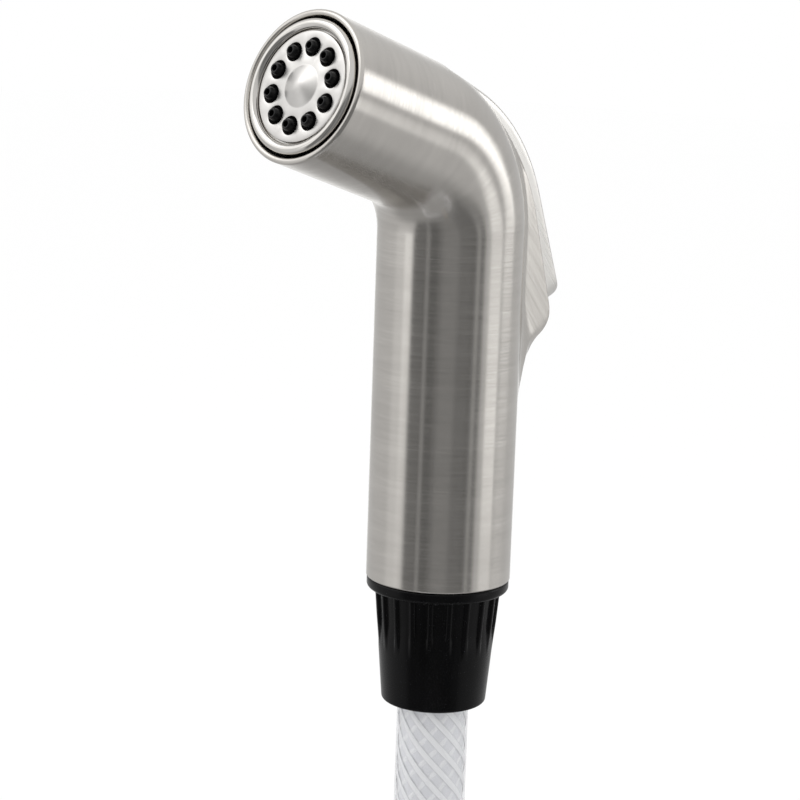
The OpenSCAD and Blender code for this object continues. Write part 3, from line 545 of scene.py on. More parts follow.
def braidTree():
    # two sets of flat strands wound over and under each other round the object's own curve
    tree, start, end = newGroup(
        "braidAlongHose",
        {"Geometry": "Geometry", "Strands each way": 8, "Steps": 400, "Radius": 0.0066,
         "Strand width": 0.0014, "Strand height": 0.0003, "Turns": 20.0, "Material": "Material"},
        {"Geometry": "Geometry"}, "GeometryNodeTree")
    given = start.outputs

    def calc(operation, *values):
        return addMath(tree, operation, *values)

    def node(kind, values=None, **props):
        return addNode(tree, "GeometryNode" + kind, values, **props).outputs

    size = {"Size X": 1.0, "Size Y": 1.0, "Vertices X": given["Steps"], "Vertices Y": 5}
    grid = node("MeshGrid", size)["Mesh"]
    starts = node("Points", {"Count": calc("MULTIPLY", given["Strands each way"], 2)})[0]
    strips = node("InstanceOnPoints", {"Points": starts, "Instance": grid})[0]
    # the strand's number goes with the instance, and is read from the mesh once it is real
    number = {"Geometry": strips, "Name": "strand", "Value": node("InputIndex")[0]}
    strips = node("StoreNamedAttribute", number, domain="INSTANCE", data_type="FLOAT")[0]
    strips = node("RealizeInstances", {0: strips})[0]
    strand = node("InputNamedAttribute", {"Name": "strand"}, data_type="FLOAT")["Attribute"]
    place = addSplit(tree, node("InputPosition")[0])
    along = calc("ADD", place[0], 0.5)
    across = calc("MULTIPLY", place[1], 2.0)
    # even strands turn one way, odd ones the other
    odd = calc("MODULO", strand, 2.0)
    way = calc("SUBTRACT", calc("MULTIPLY", odd, 2.0), 1.0)
    pair = calc("FLOOR", calc("DIVIDE", strand, 2.0))
    first = calc("DIVIDE", calc("MULTIPLY", pair, fullTurn), given["Strands each way"])
    turned = calc("MULTIPLY", along, given["Turns"], fullTurn)
    width = calc("DIVIDE", given["Strand width"], given["Radius"])
    angle = calc("ADD", first, calc("MULTIPLY", turned, way), calc("MULTIPLY", width, 0.65, across))
    # even strands lie over the odd ones, and rise a little at each crossing
    wave = calc("SINE", calc("MULTIPLY", given["Strands each way"], 2.0, turned))
    crown = calc("SUBTRACT", 1.0, calc("MULTIPLY", across, across))
    over = calc("MULTIPLY", calc("SUBTRACT", 1.0, odd), calc("ADD", 0.5, calc("MULTIPLY", wave, 0.1)))
    lift = calc("MULTIPLY", calc("ADD", calc("MULTIPLY", crown, 0.4), over), given["Strand height"])
    line = node("SampleCurve", {"Curves": given["Geometry"], "Factor": along}, mode="FACTOR")
    aside = addVector(tree, "CROSS_PRODUCT", line["Tangent"], line["Normal"])
    outward = addVector(tree, "ADD", addVector(tree, "SCALE", line["Normal"], scale=calc("COSINE", angle)),
                        addVector(tree, "SCALE", aside, scale=calc("SINE", angle)))
    away = addVector(tree, "SCALE", outward, scale=calc("ADD", given["Radius"], lift))
    # the map runs along each strand, for its fibres
    mapped = addJoin(tree, calc("MULTIPLY", along, 60.0), calc("ADD", place[1], strand), None)
    strips = node("StoreNamedAttribute", {"Geometry": strips, "Name": "Along", "Value": mapped},
                  domain="CORNER", data_type="FLOAT2")[0]
    target = addVector(tree, "ADD", line["Position"], away)
    strips = node("SetPosition", {"Geometry": strips, "Position": target})[0]
    strips = node("RealizeInstances", {0: node("SetShadeSmooth", {0: strips})[0]})[0]
    feed(tree, end.inputs[0], node("SetMaterial", {"Geometry": strips, "Material": given["Material"]})[0])
    return tree


def runTree(source, tree, values, name):
    # runs a node tree on an object and keeps its result as a plain mesh
    modifier = source.modifiers.new("Nodes", "NODES")
    modifier.node_group = tree
    for item in tree.interface.items_tree:
        if item.in_out == "INPUT" and item.name in values:
            modifier[item.identifier] = values[item.name]
    mesh = evaluatedMesh(source)
    mesh.name = name
    bpy.data.objects.remove(source)
    return addObject(name, mesh)


def lineCurve(name, path):
    curve = bpy.data.curves.new(name, "CURVE")
    curve.dimensions = "3D"
    spline = curve.splines.new("POLY")
    spline.points.add(len(path) - 1)
    spline.points.foreach_set("co", np.hstack([path * mm, np.ones((len(path), 1))]).ravel())
    return addObject(name, curve)


hoseLine, hoseLength = evenPath(hosePath(), hose["step"])
say(f"hose is {hoseLength / 1000:.3f} m long")
sleeve = tubeAlong("hose_sleeve", hoseLine, hose["d"] / 2, 40)
core = tubeAlong("hose_tube", hoseLine, hose["tubeR"], 32)
braidTurns = hoseLength * math.tan(rad(hose["slant"])) / (fullTurn * hose["tubeR"])
braid = runTree(lineCurve("braidLine", hoseLine), braidTree(),
                {"Strands each way": hose["strands"], "Steps": hose["braidSteps"], "Turns": braidTurns,
                 "Radius": (hose["tubeR"] - hose["braidGap"]) * mm, "Strand width": hose["strandW"] * mm,
                 "Strand height": hose["strandH"] * mm, "Material": mats["hoseStrand"]}, "hose_braid")
for piece, finish in ((sleeve, "hoseClear"), (core, "hoseTube"), (braid, "hoseStrand")):
    dress(piece, finish, "hose", "braided_hose", "hose_run", "hose_coil", "hose_tail")
say(f"hose made, braid {len(braid.data.polygons)} faces")


# shell, with the raised pocket that the lever lies in

pocket = {"rimEnd": (21.222, 53.141), "rimLean": 16.4, "rimStraight": 20.0, "rimArcR": 35.6, "rimSweep": 48,
          "chinR": 4.5, "chinTurn": -52.0, "throatR": 12.0, "throatEnd": 170, "tail": 14, "tailTurn": -100,
          "half": 7.3, "saddleHalf": 8.1, "edge": 0.2, "rimEdge": 0.35, "noseEdge": 3.6, "noseZ": 46.34,
          "noseFrom": (47.0, 55.0), "sideFillet": 4.2, "chinFillet": 13.0, "filletFrom": (43.5, 57.5)}


def pocketOutline():
    # in the Y-Z plane: arc and straight of the rim, chin, throat, and back into the tube
    p = pocket
    end = np.array(p["rimEnd"])
    rimC = end + turnedTo(p["rimLean"] + 90, p["rimStraight"]) - turnedTo(p["rimLean"], p["rimArcR"])
    chinC = end - turnedTo(p["rimLean"], p["chinR"])
    throatC = chinC + turnedTo(p["chinTurn"], p["chinR"] + p["throatR"])
    points = arcPoints(*rimC, p["rimArcR"], p["rimLean"] + p["rimSweep"], p["rimLean"], 40)
    points += arcPoints(*chinC, p["chinR"], p["rimLean"], p["chinTurn"], 24)
    points += arcPoints(*throatC, p["throatR"], p["chinTurn"] + 180, p["throatEnd"], 24)
    last = np.array(points[-1]) + turnedTo(p["tailTurn"], p["tail"])
    points += [tuple(last), (0, last[1]), (0, shell["bendZ"])]
    return np.array(points)


def outlineField(outline, low, high, step):
    # signed distance to a closed outline on a grid, with a reader that blends between grid points
    ys = np.arange(low[0], high[0], step)
    zs = np.arange(low[1], high[1], step)
    gy, gz = np.meshgrid(ys, zs, indexing="ij")
    best = np.full(gy.shape, np.inf)
    inside = np.zeros(gy.shape, bool)
    for a, b in zip(outline, np.roll(outline, -1, axis=0)):
        d = b - a
        t = np.clip(((gy - a[0]) * d[0] + (gz - a[1]) * d[1]) / (d @ d), 0, 1)
        best = np.minimum(best, np.hypot(gy - a[0] - t * d[0], gz - a[1] - t * d[1]))
        if d[1]:
            crosses = (a[1] > gz) != (b[1] > gz)
            inside ^= crosses & (gy < a[0] + (gz - a[1]) * d[0] / d[1])
    field = np.where(inside, -best, best)

    def read(y, z):
        fy = np.clip((y - low[0]) / step, 0, len(ys) - 1.001)
        fz = np.clip((z - low[1]) / step, 0, len(zs) - 1.001)
        i, j = fy.astype(int), fz.astype(int)
        u, v = fy - i, fz - j
        a, b, c, d = field[i, j], field[i + 1, j], field[i, j + 1], field[i + 1, j + 1]
        value = a * (1 - u) * (1 - v) + b * u * (1 - v) + c * (1 - u) * v + d * u * v
        return value, ((b - a) * (1 - v) + (d - c) * v) / step, ((c - a) * (1 - u) + (d - b) * u) / step
    return read


readPocket = outlineField(pocketOutline(), (-25.0, 5.0), (40.0, 115.0), 0.2)


def spine(s):
    # point on the centre line and the outward normal there, in the Y-Z plane
    c = shell
    a = np.clip((s - c["bendZ"]) / c["bendR"], 0, rad(c["bendDeg"]))
    past = np.maximum(s - bendEnd, 0)
    y = -c["bendR"] + c["bendR"] * np.cos(a) - np.sin(a) * past
    z = np.minimum(s, c["bendZ"]) + c["bendR"] * np.sin(a) + np.cos(a) * past
    return y, z, np.cos(a), np.sin(a)


def skinDistance(x, n, row):
    # distance to the shell's outside: the bent tube, with the pocket blended in
    p = pocket
    y0, z0, ny, nz = row
    y, z = y0 + n * ny, z0 + n * nz
    r = np.hypot(x, n)
    tube = r - shell["r"]
    below = np.minimum(z - p["noseZ"], 0)
    span = np.maximum(np.hypot(x, below), 1e-6)
    a = span - p["saddleHalf"]
    b, by, bz = readPocket(y, z)
    edge = p["rimEdge"] + (p["noseEdge"] - p["rimEdge"]) * (1 - smooth(*p["noseFrom"], z))
    pa, pb = np.maximum(a + edge, 0), np.maximum(b + edge, 0)
    both = np.hypot(pa, pb)
    raised = both + np.minimum(np.maximum(a + edge, b + edge), 0) - edge
    wa = np.where(both > 1e-9, pa / np.maximum(both, 1e-9), a > b)
    wb = np.where(both > 1e-9, pb / np.maximum(both, 1e-9), a <= b)
    # the fillet shrinks where the two surfaces already lie the same way
    along = wa * x * x / (span * r) + (wb * by * ny + (wb * bz + wa * below / span) * nz) * n / r
    k = p["sideFillet"] + (p["chinFillet"] - p["sideFillet"]) * (1 - smooth(*p["filletFrom"], z))
    k = np.maximum(k * np.clip(1 - along, 0.02, 1), 1e-3)
    h = np.maximum(k - np.abs(tube - raised), 0) / k
    return np.minimum(tube, raised) - h * h * k / 4, smooth(-1.0, 1.5, tube - raised)


def edgeBetween(low, high, isOut):
    # halves the gap until it stands on the place where the outside begins
    for _ in range(22):
        mid = (low + high) / 2
        out = isOut(mid)
        low, high = np.where(out, low, mid), np.where(out, mid, high)
    return (low + high) / 2


def shellRows():
    # where each ring of points lies along the centre line, and how far inside the plain surface it is
    c = shell
    low, high, last = c["windowLow"], c["windowHigh"], bendEnd + c["headLen"]
    plain = [np.arange(*stretch) for stretch in c["spacing"]]
    plain.append(c["bendZ"] + c["bendR"] * rad(1) * np.arange(0, c["bendDeg"] - 0.1, c["bendStep"]))
    plain.append(np.arange(bendEnd + 1.2, last - 1.0, c["headStep"]))
    plain = np.concatenate(plain + [[last - c["lip"] - 0.05]])
    plain = plain[(np.abs(plain - low) > 0.25) & (np.abs(plain - high) > 0.3)]
    plain = np.sort(np.concatenate([plain, [low, high, low + 0.45, high - 0.45]]))

    def rounded(s, size, a):
        return s + size * (1 - math.sin(rad(a))), abs(size) * (1 - math.cos(rad(a)))

    rows = [rounded(c["rimZ"], c["roll"], a) for a in (90, 60, 35, 15)]
    rows += [(s, 0.0) for s in plain]
    rows += [rounded(last, -c["lip"], a) for a in (10, 25, 40, 55, 72, 90)]
    return np.array(rows).T


def shellAngles(centre):
    # angle of every column in each row: over the opening, its walls, the fillet, and round the tube
    y, z, ny, nz = centre
    rim = edgeBetween(11.6, 33.0, lambda n: readPocket(y + n * ny, z + n * nz)[0] > 0)
    size = np.clip((rim - 11.42) / 3, 0.12, 1)
    half = pocket["saddleHalf"]
    theta = [np.arctan2(x, rim) for x in (0, 1, 2, 3, 4, 5, 5.8, 6.5, 7.0, pocket["half"] + pocket["edge"])]
    shoulder = ((7.72, 0), (7.9, 0.02), (8.02, 0.1), (8.09, 0.25), (half, 0.45), (half, 0.8), (half, 1.3))
    for x, drop in shoulder:
        theta.append(np.arctan2(x, rim - drop * size))
    wall, side = theta[-1], rad(46)
    theta += [wall + (side - wall) * i / 14 for i in range(1, 15)]
    theta += [np.full(len(rim), rad(a)) for a in np.linspace(46, 180, 46)[1:]]
    return np.array(theta).T


def buildShell():
    top, bore, edge = shell["windowCols"], shell["bore"], pocket["edge"]
    stations, inset = shellRows()
    centre = spine(stations)
    theta = shellAngles(centre)
    rows, cols = theta.shape
    sx, cx = np.sin(theta), np.cos(theta)
    row = tuple(c[:, None] for c in centre)
    r = edgeBetween(12.9, 34.0, lambda r: skinDistance(r * sx, r * cx, row)[0] > 0)
    onPocket = skinDistance(r * sx, r * cx, row)[1]
    r = r - inset[:, None]
    x, n = r * sx, r * cx
    x[:, 0] = 0
    x[:, -1] = 0
    boreTheta = math.asin(pocket["half"] / bore)
    rest = (theta[:, top:] - theta[:, top:top + 1]) / (math.pi - theta[:, top:top + 1])
    inner = np.empty_like(theta)
    inner[:, :top + 1] = boreTheta * np.arange(top + 1) / top
    inner[:, top:] = boreTheta + rest * (math.pi - boreTheta)
    verts, uvs, mask, faces = [], [], [], []

    def add(xx, nn, s, share=0.0, slanted=0.0):
        y0, z0, ny, nz = spine(s)
        verts.append((xx, y0 + nn * ny, z0 + nn * nz))
        uvs.append((share, s * mm))
        mask.append(slanted)
        return len(verts) - 1

    def strip(a, b):
        for k in range(len(a) - 1):
            faces.append((a[k], a[k + 1], b[k + 1], b[k]))

    boreR = bore + np.where(stations > bendEnd, 0.85 * inset, 0)
    outer = [[add(x[i, j], n[i, j], stations[i], theta[i, j] / fullTurn, onPocket[i, j]) for j in range(cols)]
             for i in range(rows)]
    inside = [[add(size * math.sin(a), size * math.cos(a), s, a / fullTurn) for a in angles]
              for size, s, angles in zip(boreR, stations, inner)]
    w0, w1 = (int(np.argmin(np.abs(stations - shell[end]))) for end in ("windowLow", "windowHigh"))
    for i in range(rows - 1):
        start = top if w0 <= i < w1 else 0
        strip(outer[i][start:], outer[i + 1][start:])
        strip(inside[i][start:], inside[i + 1][start:])
    for i in (0, -1):
        strip(outer[i], inside[i])

    def wallColumn(i, j, shift):
        # down the opening's wall: rounded at the top, then to the bore
        pull = edge if j == top else 0
        xi, ni = bore * math.sin(inner[i, j]), bore * math.cos(inner[i, j])
        column = [outer[i][j]]
        for out, down in ((0.3, 0.3), (0.0, 1.0)):
            column.append(add(x[i, j] - pull * (1 - out), n[i, j] - edge * down,
                              stations[i] + shift * edge * (1 - out), theta[i, j] / fullTurn, 1.0))
        column.append(add((x[i, j] - pull + xi) / 2, (n[i, j] - edge + ni) / 2, stations[i] + shift * edge,
                          slanted=1.0))
        return column + [inside[i][j]]

    side = [wallColumn(i, top, {w0: 1, w1: -1}.get(i, 0)) for i in range(w0, w1 + 1)]
    ends = [[wallColumn(i, j, shift) for j in range(top)] + [corner]
            for i, shift, corner in ((w0, 1, side[0]), (w1, -1, side[-1]))]
    for columns in [side] + ends:
        for a, b in zip(columns, columns[1:]):
            strip(a, b)
    # the other half is the mirror image
    count = len(verts)
    verts += [(-v[0], v[1], v[2]) for v in verts]
    uvs += [(1 - u, v) for u, v in uvs]
    faces += [tuple(count + k for k in f[::-1]) for f in faces]
    piece = makePiece("sprayer_shell", verts, faces, 0.002, uvs, mask + mask)
    creaseByAngle(piece, shell["crease"])
    dress(piece, "shell", "body", "brushed_nickel", "body_shell")
    say(f"shell made, {len(piece.data.polygons)} faces")


buildShell()


# spray face

face = {"plateTop": 27.95, "plateR": 10.1, "stepZ": 27.0, "skirtR": 10.8, "back": 26.1, "soft": 0.18,
        "holes": 10, "holeR": 1.7, "circleR": 7.1, "phase": 32.2, "domeR": 3.75, "domeH": 1.1}
bead = {"in": 10.35, "out": 12.3, "bore": 10.9, "threadR": 11.35, "back": 24.8, "foot": 27.1, "middle": 27.6,
        "height": 0.98}
nozzle = {"r": 1.3, "bore": 0.55, "tipR": 0.95, "top": 29.0, "back": 25.9, "sheetR": 10.8, "sheetLow": 24.7,
          "sheetTop": 26.1, "chamfer": 0.2}


def addRing(bm, points):
    return [bm.verts.new(point) for point in points]


def joinRings(bm, rings):
    for a, b in zip(rings, rings[1:]):
        for i in range(len(a)):
            k = (i + 1) % len(a)
            bm.faces.new((a[i], a[k], b[k], b[i]))


def fillBetween(bm, rings):
    # flat face with holes
    edges = []
    for ring in rings:
        for i, v in enumerate(ring):
            other = ring[(i + 1) % len(ring)]
            edges.append(bm.edges.get((v, other)) or bm.edges.new((v, other)))
    bmesh.ops.triangle_fill(bm, use_beauty=True, use_dissolve=False, edges=edges)


def closeMesh(bm, name, place):
    bmesh.ops.recalc_face_normals(bm, faces=bm.faces)
    mesh = bpy.data.meshes.new(name)
    bm.to_mesh(mesh)
    bm.free()
    mesh.transform(Matrix.Scale(mm, 4) @ place)
    return mesh


def buildPlate():
    # flat ring between the holes, dome and edge; then hole walls, dome and rim as strips
    f = face
    top, hole, soft, edge, r, h = f["plateTop"], f["holeR"], f["soft"], f["plateR"], f["domeR"], f["domeH"]
    bm = bmesh.new()

    def rings(cx, cy, profile, steps):
        turn = [fullTurn * i / steps for i in range(steps)]
        made = [addRing(bm, [(cx + size * math.cos(a), cy + size * math.sin(a), z) for a in turn])
                for size, z in profile]
        joinRings(bm, made)
        return made

    holes = []
    for i in range(f["holes"]):
        a = rad(f["phase"]) + fullTurn * i / f["holes"]
        wall = ((hole + soft, top), (hole + soft * 0.3, top - soft * 0.3), (hole, top - soft),
                (hole, f["back"]))
        holes.append(rings(f["circleR"] * math.cos(a), f["circleR"] * math.sin(a), wall, 40))
    rim = rings(0, 0, ((edge - 0.25, top), (edge - 0.08, top - 0.07), (edge, top - 0.25), (edge, f["stepZ"]),
                       (f["skirtR"], f["stepZ"]), (f["skirtR"], f["back"])), 160)
    slope = ((0.8, 0.3), (0.6, 0.52), (0.4, 0.74), (0.24, 0.89), (0.1, 0.98))
    dome = rings(0, 0, ((r + 0.25, top), (r + 0.1, top + 0.02), (r - 0.1, top + 0.09),
                        *((r * out, top + h * up) for out, up in slope)), 64)
    tip = bm.verts.new((0, 0, top + h))
    for a, b in zip(dome[-1], dome[-1][1:] + dome[-1][:1]):
        bm.faces.new((a, b, tip))
    fillBetween(bm, [rim[0], dome[0]] + [wall[0] for wall in holes])
    fillBetween(bm, [rim[-1]] + [wall[-1] for wall in holes])
    piece = addMesh("spray_plate", closeMesh(bm, "spray_plate", headPlace()))
    creaseByAngle(piece, 40)
    dress(piece, "plate", "body", "brushed_nickel", "face_plate")


def buildBead():
    c = bead
    half, middle = (c["out"] - c["in"]) / 2, (c["out"] + c["in"]) / 2
    profile = [(c["bore"], c["back"]), (c["threadR"], c["back"]), (c["threadR"], c["foot"]),
               (c["out"], c["foot"])]
    profile += [(middle + half * math.cos(rad(a)), c["middle"] + c["height"] * math.sin(rad(a)))
                for a in range(0, 181, 9)]
    profile += [(c["in"], c["foot"]), (c["bore"], c["foot"])]
    piece = lathe("spray_bead", profile, headPlace(), 192, 50)
    dress(piece, "polished", "body", "polished_nickel", "bezel_ring")


def nozzleTree():
    # copies of one nozzle on a circle
    tree, start, end = newGroup(
        "nozzlesOnCircle",
        {"Geometry": "Geometry", "Count": 10, "Circle radius": 0.007, "Phase": 0.0, "Material": "Material"},
        {"Geometry": "Geometry"}, "GeometryNodeTree")
    given = start.outputs

    def node(kind, values=None, **props):
        return addNode(tree, kind, values, **props).outputs[0]

    circle = node("GeometryNodeMeshCircle", {"Vertices": given["Count"], "Radius": given["Circle radius"]})
    spin = {"Vector": node("GeometryNodeInputPosition"), "Angle": given["Phase"]}
    spin = node("ShaderNodeVectorRotate", spin, rotation_type="Z_AXIS")
    circle = node("GeometryNodeSetPosition", {"Geometry": circle, "Position": spin})
    copies = node("GeometryNodeInstanceOnPoints", {"Points": circle, "Instance": given["Geometry"]})
    copies = node("GeometryNodeRealizeInstances", {0: copies})
    copies = node("GeometryNodeSetMaterial", {"Geometry": copies, "Material": given["Material"]})
    feed(tree, end.inputs[0], copies)
    return tree


def buildNozzles():
    c = nozzle
    r, b, tip, t, back = c["r"], c["bore"], c["tipR"], c["top"], c["back"]
    profile = [(b, back), (r, back), (r, back + 1.4), (r - 0.03, t - 1.3), (r - 0.12, t - 0.9),
               (tip + 0.1, t - 0.4), (tip, t - 0.2), (tip - 0.06, t - 0.06), (tip - 0.16, t), (b + 0.14, t),
               (b + 0.03, t - 0.05), (b, t - 0.16)]
    circle = {"Count": face["holes"], "Circle radius": face["circleR"] * mm, "Phase": rad(face["phase"]),
              "Material": mats["blackRubber"]}
    single = lathe("nozzle", profile, Matrix.Identity(4), 24)
    tips = runTree(single, nozzleTree(), circle, "nozzle_tips")
    wide, low, high, cut = c["sheetR"], c["sheetLow"], c["sheetTop"], c["chamfer"]
    profile = [(0.01, low), (wide - cut, low), (wide, low + cut), (wide, high - cut), (wide - cut, high),
               (0.01, high)]
    sheet = lathe("nozzle_sheet", profile, Matrix.Identity(4), 96)
    place = headPlace()
    place.translation = place.translation * mm
    for piece in (tips, sheet):
        piece.data.transform(place)
        creaseByAngle(piece, 40)
        dress(piece, "blackRubber", "body", "black_rubber", "nozzle_insert")


buildPlate()
buildBead()
buildNozzles()
say("spray face made")


# collar and coupling

collar = {"t": shell["rimZ"], "outR": 13.8, "neckR": 8.35, "plugR": 12.5, "plugH": 4.1, "recessR": 12.35,
          "recessH": 0.6, "chamfer": 0.12, "roundTop": 0.4, "roundLow": 0.85}
coupling = {"topR": 12.15, "endR": 10.2, "top": 0.3, "len": 22.5, "ribs": 20, "perRib": 16, "ribW": 1.25,
            "ribLen": 12.5, "ribH": 0.12, "panelDepth": 0.5, "edge": 0.6, "boreR": 7.95, "shoulderR": 6.1,
            "neckR": 8.35, "shoulder": -9.55, "shoulderT": 2.0, "chamfer": 0.3, "rowStep": 0.7}


def buildCollar():
    c = collar
    low, high, t, cut = c["roundLow"], c["roundTop"], c["t"], c["chamfer"]
    profile = [(c["neckR"], t + c["plugH"]), (c["plugR"], t + c["plugH"]), (c["plugR"], t),
               (c["outR"] - high, t)]
    profile += arcPoints(c["outR"] - high, t - high, high, 75, 0, 5)
    profile += arcPoints(c["outR"] - low, low, low, 0, -90, 8)
    profile += [(c["recessR"] + cut, 0), (c["recessR"], cut), (c["recessR"], c["recessH"]),
                (c["neckR"], c["recessH"])]
    piece = lathe("collar_ring", profile, Matrix.Identity(4), 160)
    dress(piece, "blackPlastic", "body", "black_plastic", "flange_ring")


def buildCoupling():
    # tapered outside with ribs that fade out downwards: height, how far in, and how much of the ribs
    c = coupling
    around = c["ribs"] * c["perRib"]
    edge, end, cut = c["edge"], -c["len"], c["chamfer"]
    floor = c["shoulder"] - c["shoulderT"]
    slope = (c["topR"] - c["endR"]) / c["len"]
    outer = [(c["top"], 0.25, 0.0), (c["top"] - 0.07, 0.07, 0.5), (c["top"] - 0.25, 0.0, 1.0)]
    outer += [(-z, 0.0, 1.0) for z in np.arange(0.8, c["len"] - edge, c["rowStep"])]
    outer += [(end + edge * (1 - math.sin(rad(a))), edge * (1 - math.cos(rad(a))), 1.0)
              for a in range(0, 91, 15)]
    inner = [(c["boreR"] + cut, end), (c["boreR"], end + cut), (c["boreR"], floor), (c["shoulderR"], floor),
             (c["shoulderR"], c["shoulder"]), (c["neckR"], c["shoulder"]), (c["neckR"], c["top"])]
    verts = []
    for k in range(around):
        a = fullTurn * k / around
        share = (k % c["perRib"]) / c["perRib"]
        fromRib = min(share, 1 - share) * fullTurn * c["topR"] / c["ribs"]
        panel = float(smooth(c["ribW"] * 0.32, c["ribW"] * 0.62, fromRib)) * c["panelDepth"]
        bulge = c["ribH"] * math.cos(min(fromRib / c["ribW"], 0.5) * math.pi)
        line = []
        for z, back, full in outer:
            fade = 1 - float(smooth(c["ribLen"] * 0.45, c["ribLen"], c["top"] - z))
            line.append((c["topR"] + slope * (z - c["top"]) - back + (bulge - panel) * fade * full, z))
        verts += [(r * math.cos(a), r * math.sin(a), z) for r, z in line + inner]
    piece = makePiece("coupling_body", verts, turnedFaces(around, len(outer) + len(inner)), 0.0005)
    creaseByAngle(piece, 46)
    dress(piece, "blackPlastic", "body", "black_plastic", "coupling_nut")


buildCollar()
buildCoupling()
say("collar and coupling made")


# thumb lever

lever = {"centre": (-14.46, 64.51), "half": 7.0, "depth": 8.0, "frontDepth": 4.6, "crownR": 14.0,
         "arcR": 36.0, "frontLean": 66.0, "tipLean": 20.8, "frontLen": 10.9, "tipLen": 22.3, "cornerR": 3.5,
         "tipEdge": 2.8, "frontEdge": 0.3, "edge": 0.5, "crest": 0.18, "wall": 1.2, "rowStep": 1.1}
lug = {"pinR": 29.3, "pinBack": 6.5, "r": 2.2, "hole": 1.05, "reach": 3.6, "in": 2.6, "out": 4.8}
boss = {"below": 7.0, "tip": 16.41, "root": 23.4, "r": 2.2}
endless = 1e9


def sagitta(r, x):
    # how far a circle of radius r has fallen away at x from its top
    return r - math.sqrt(r ** 2 - x ** 2)


def leverRows():
    # place, lean, distance left to the tip and distance from the front end
    c = lever
    middle = np.array(c["centre"])
    front, tip = c["frontLean"], c["tipLean"]
    knee, heel = middle + turnedTo(front, c["arcR"]), middle + turnedTo(tip, c["arcR"])
    rows = []
    for d in [c["frontLen"] - e for e in (0, 0.12, 0.3, 0.6)] + list(np.arange(9.6, 0.5, -c["rowStep"])):
        rows.append((knee + turnedTo(front + 90, d), front, endless, c["frontLen"] - d))
    rows += [(middle + turnedTo(a, c["arcR"]), a, endless, endless) for a in np.linspace(front, tip, 30)]
    left = list(np.arange(21.2, 4.1, -c["rowStep"]))
    left += [3.5, 2.9, 2.4, 1.95, 1.55, 1.2, 0.9, 0.62, 0.4, 0.22, 0.1, 0.02]
    rows += [(heel + turnedTo(tip - 90, c["tipLen"] - d), tip, d, endless) for d in left]
    return rows


def leverSection(point, lean, left, fromFront, floor=endless):
    # one line across the lever: side wall, rounded edge and crown, then the same mirrored
    c = lever
    half, drop, edge = c["half"], 0.0, c["edge"]
    if left < c["cornerR"]:
        half -= sagitta(c["cornerR"], c["cornerR"] - left)
    if left < c["tipEdge"]:
        drop = sagitta(c["tipEdge"], c["tipEdge"] - left)
    if fromFront < c["frontEdge"]:
        drop = sagitta(c["frontEdge"], c["frontEdge"] - fromFront)
    side = -sagitta(c["crownR"], half) - drop
    line = [(half, min(n, side - edge * 1.2)) for n in (-c["depth"] + 0.15, -6.5, -5.0, -4.0, -3.0)]
    for a in (0, 25, 50, 70):
        down, up = 1 - math.sin(rad(a)), c["crest"] * math.sin(rad(a))
        line.append((half - edge * (1 - math.cos(rad(a))), side - edge * down + up))
    for share in (0.9, 0.8, 0.65, 0.5, 0.33, 0.16, 0.0):
        x = share * (half - edge * 0.2)
        line.append((x, -sagitta(c["crownR"], x) - drop))
    line = [(x, min(n, floor)) for x, n in line]
    line += [(-x, n) for x, n in line[-2::-1]]
    out = turnedTo(lean)
    return [(x, point[0] + n * out[0], point[1] + n * out[1]) for x, n in line]


def buildLever():
    c = lever
    rows = leverRows()
    lines = [leverSection(*rows[0], floor=-c["frontDepth"] / part) for part in (1, 2)]
    lines += [leverSection(*row) for row in rows]
    lines += [leverSection(*rows[-1], floor=-f) for f in (5.0, 6.5, c["depth"] - 0.15)]
    piece = makePiece("thumb_lever", np.concatenate(lines), gridFaces(len(lines), len(lines[0])), 0.001)
    bm = bmesh.new()
    bm.from_mesh(piece.data)
    bmesh.ops.dissolve_degenerate(bm, dist=0.0005 * mm, edges=bm.edges)
    # the crown has to face away from the handle
    crown = max(bm.faces, key=lambda f: f.calc_center_median().y)
    if crown.normal.y < 0:
        bmesh.ops.reverse_faces(bm, faces=bm.faces)
    bm.to_mesh(piece.data)
    bm.free()
    thick = piece.modifiers.new("Wall", "SOLIDIFY")
    thick.thickness = c["wall"] * mm
    thick.offset = -1
    thick.use_even_offset = True
    solid = evaluatedMesh(piece)
    piece.modifiers.remove(thick)
    piece.data = solid
    creaseByAngle(piece, 35)
    dress(piece, "lever", "lever", "brushed_nickel", "lever")


def buildLugs():
    # they carry the pin
    c = lug
    lean = shell["bendDeg"] - c["pinBack"]
    out, along = turnedTo(lean), turnedTo(lean + 90)
    pin = np.array([-shell["bendR"], shell["bendZ"]]) + c["pinR"] * out
    outline = arcPoints(0, 0, c["r"], 90, 270, 14) + [(c["reach"], -c["r"]), (c["reach"], c["r"])]
    hole = arcPoints(0, 0, c["hole"], 0, 360, 28)[:-1]
    for name, side in (("lever_lug_left", -1), ("lever_lug_right", 1)):
        bm = bmesh.new()
        ends = []
        for x in (side * c["in"], side * c["out"]):
            rings = [addRing(bm, [(x, *(pin + u * out + v * along)) for u, v in points])
                     for points in (outline, hole)]
            fillBetween(bm, rings)
            ends.append(rings)
        for pair in zip(*ends):
            joinRings(bm, pair)
        piece = addObject(name, closeMesh(bm, "lever_lug", Matrix.Identity(4)))
        dress(piece, "lever", "lever", "brushed_nickel", "lever")


def buildBoss():
    # it pushes the valve
    c = boss
    place = Matrix(((1, 0, 0, 0), (0, 0, 1, 0), (0, -1, 0, shell["bendZ"] - c["below"]), (0, 0, 0, 1)))
    profile = [(0.01, c["tip"]), (c["r"] - 0.3, c["tip"]), (c["r"], c["tip"] + 0.29), (c["r"], c["root"]),
               (0.01, c["root"])]
    piece = lathe("lever_boss", profile, place, 48)
    dress(piece, "lever", "lever", "brushed_nickel", "lever")


buildLever()
buildLugs()
buildBoss()
say("lever made")


# return spring of the valve

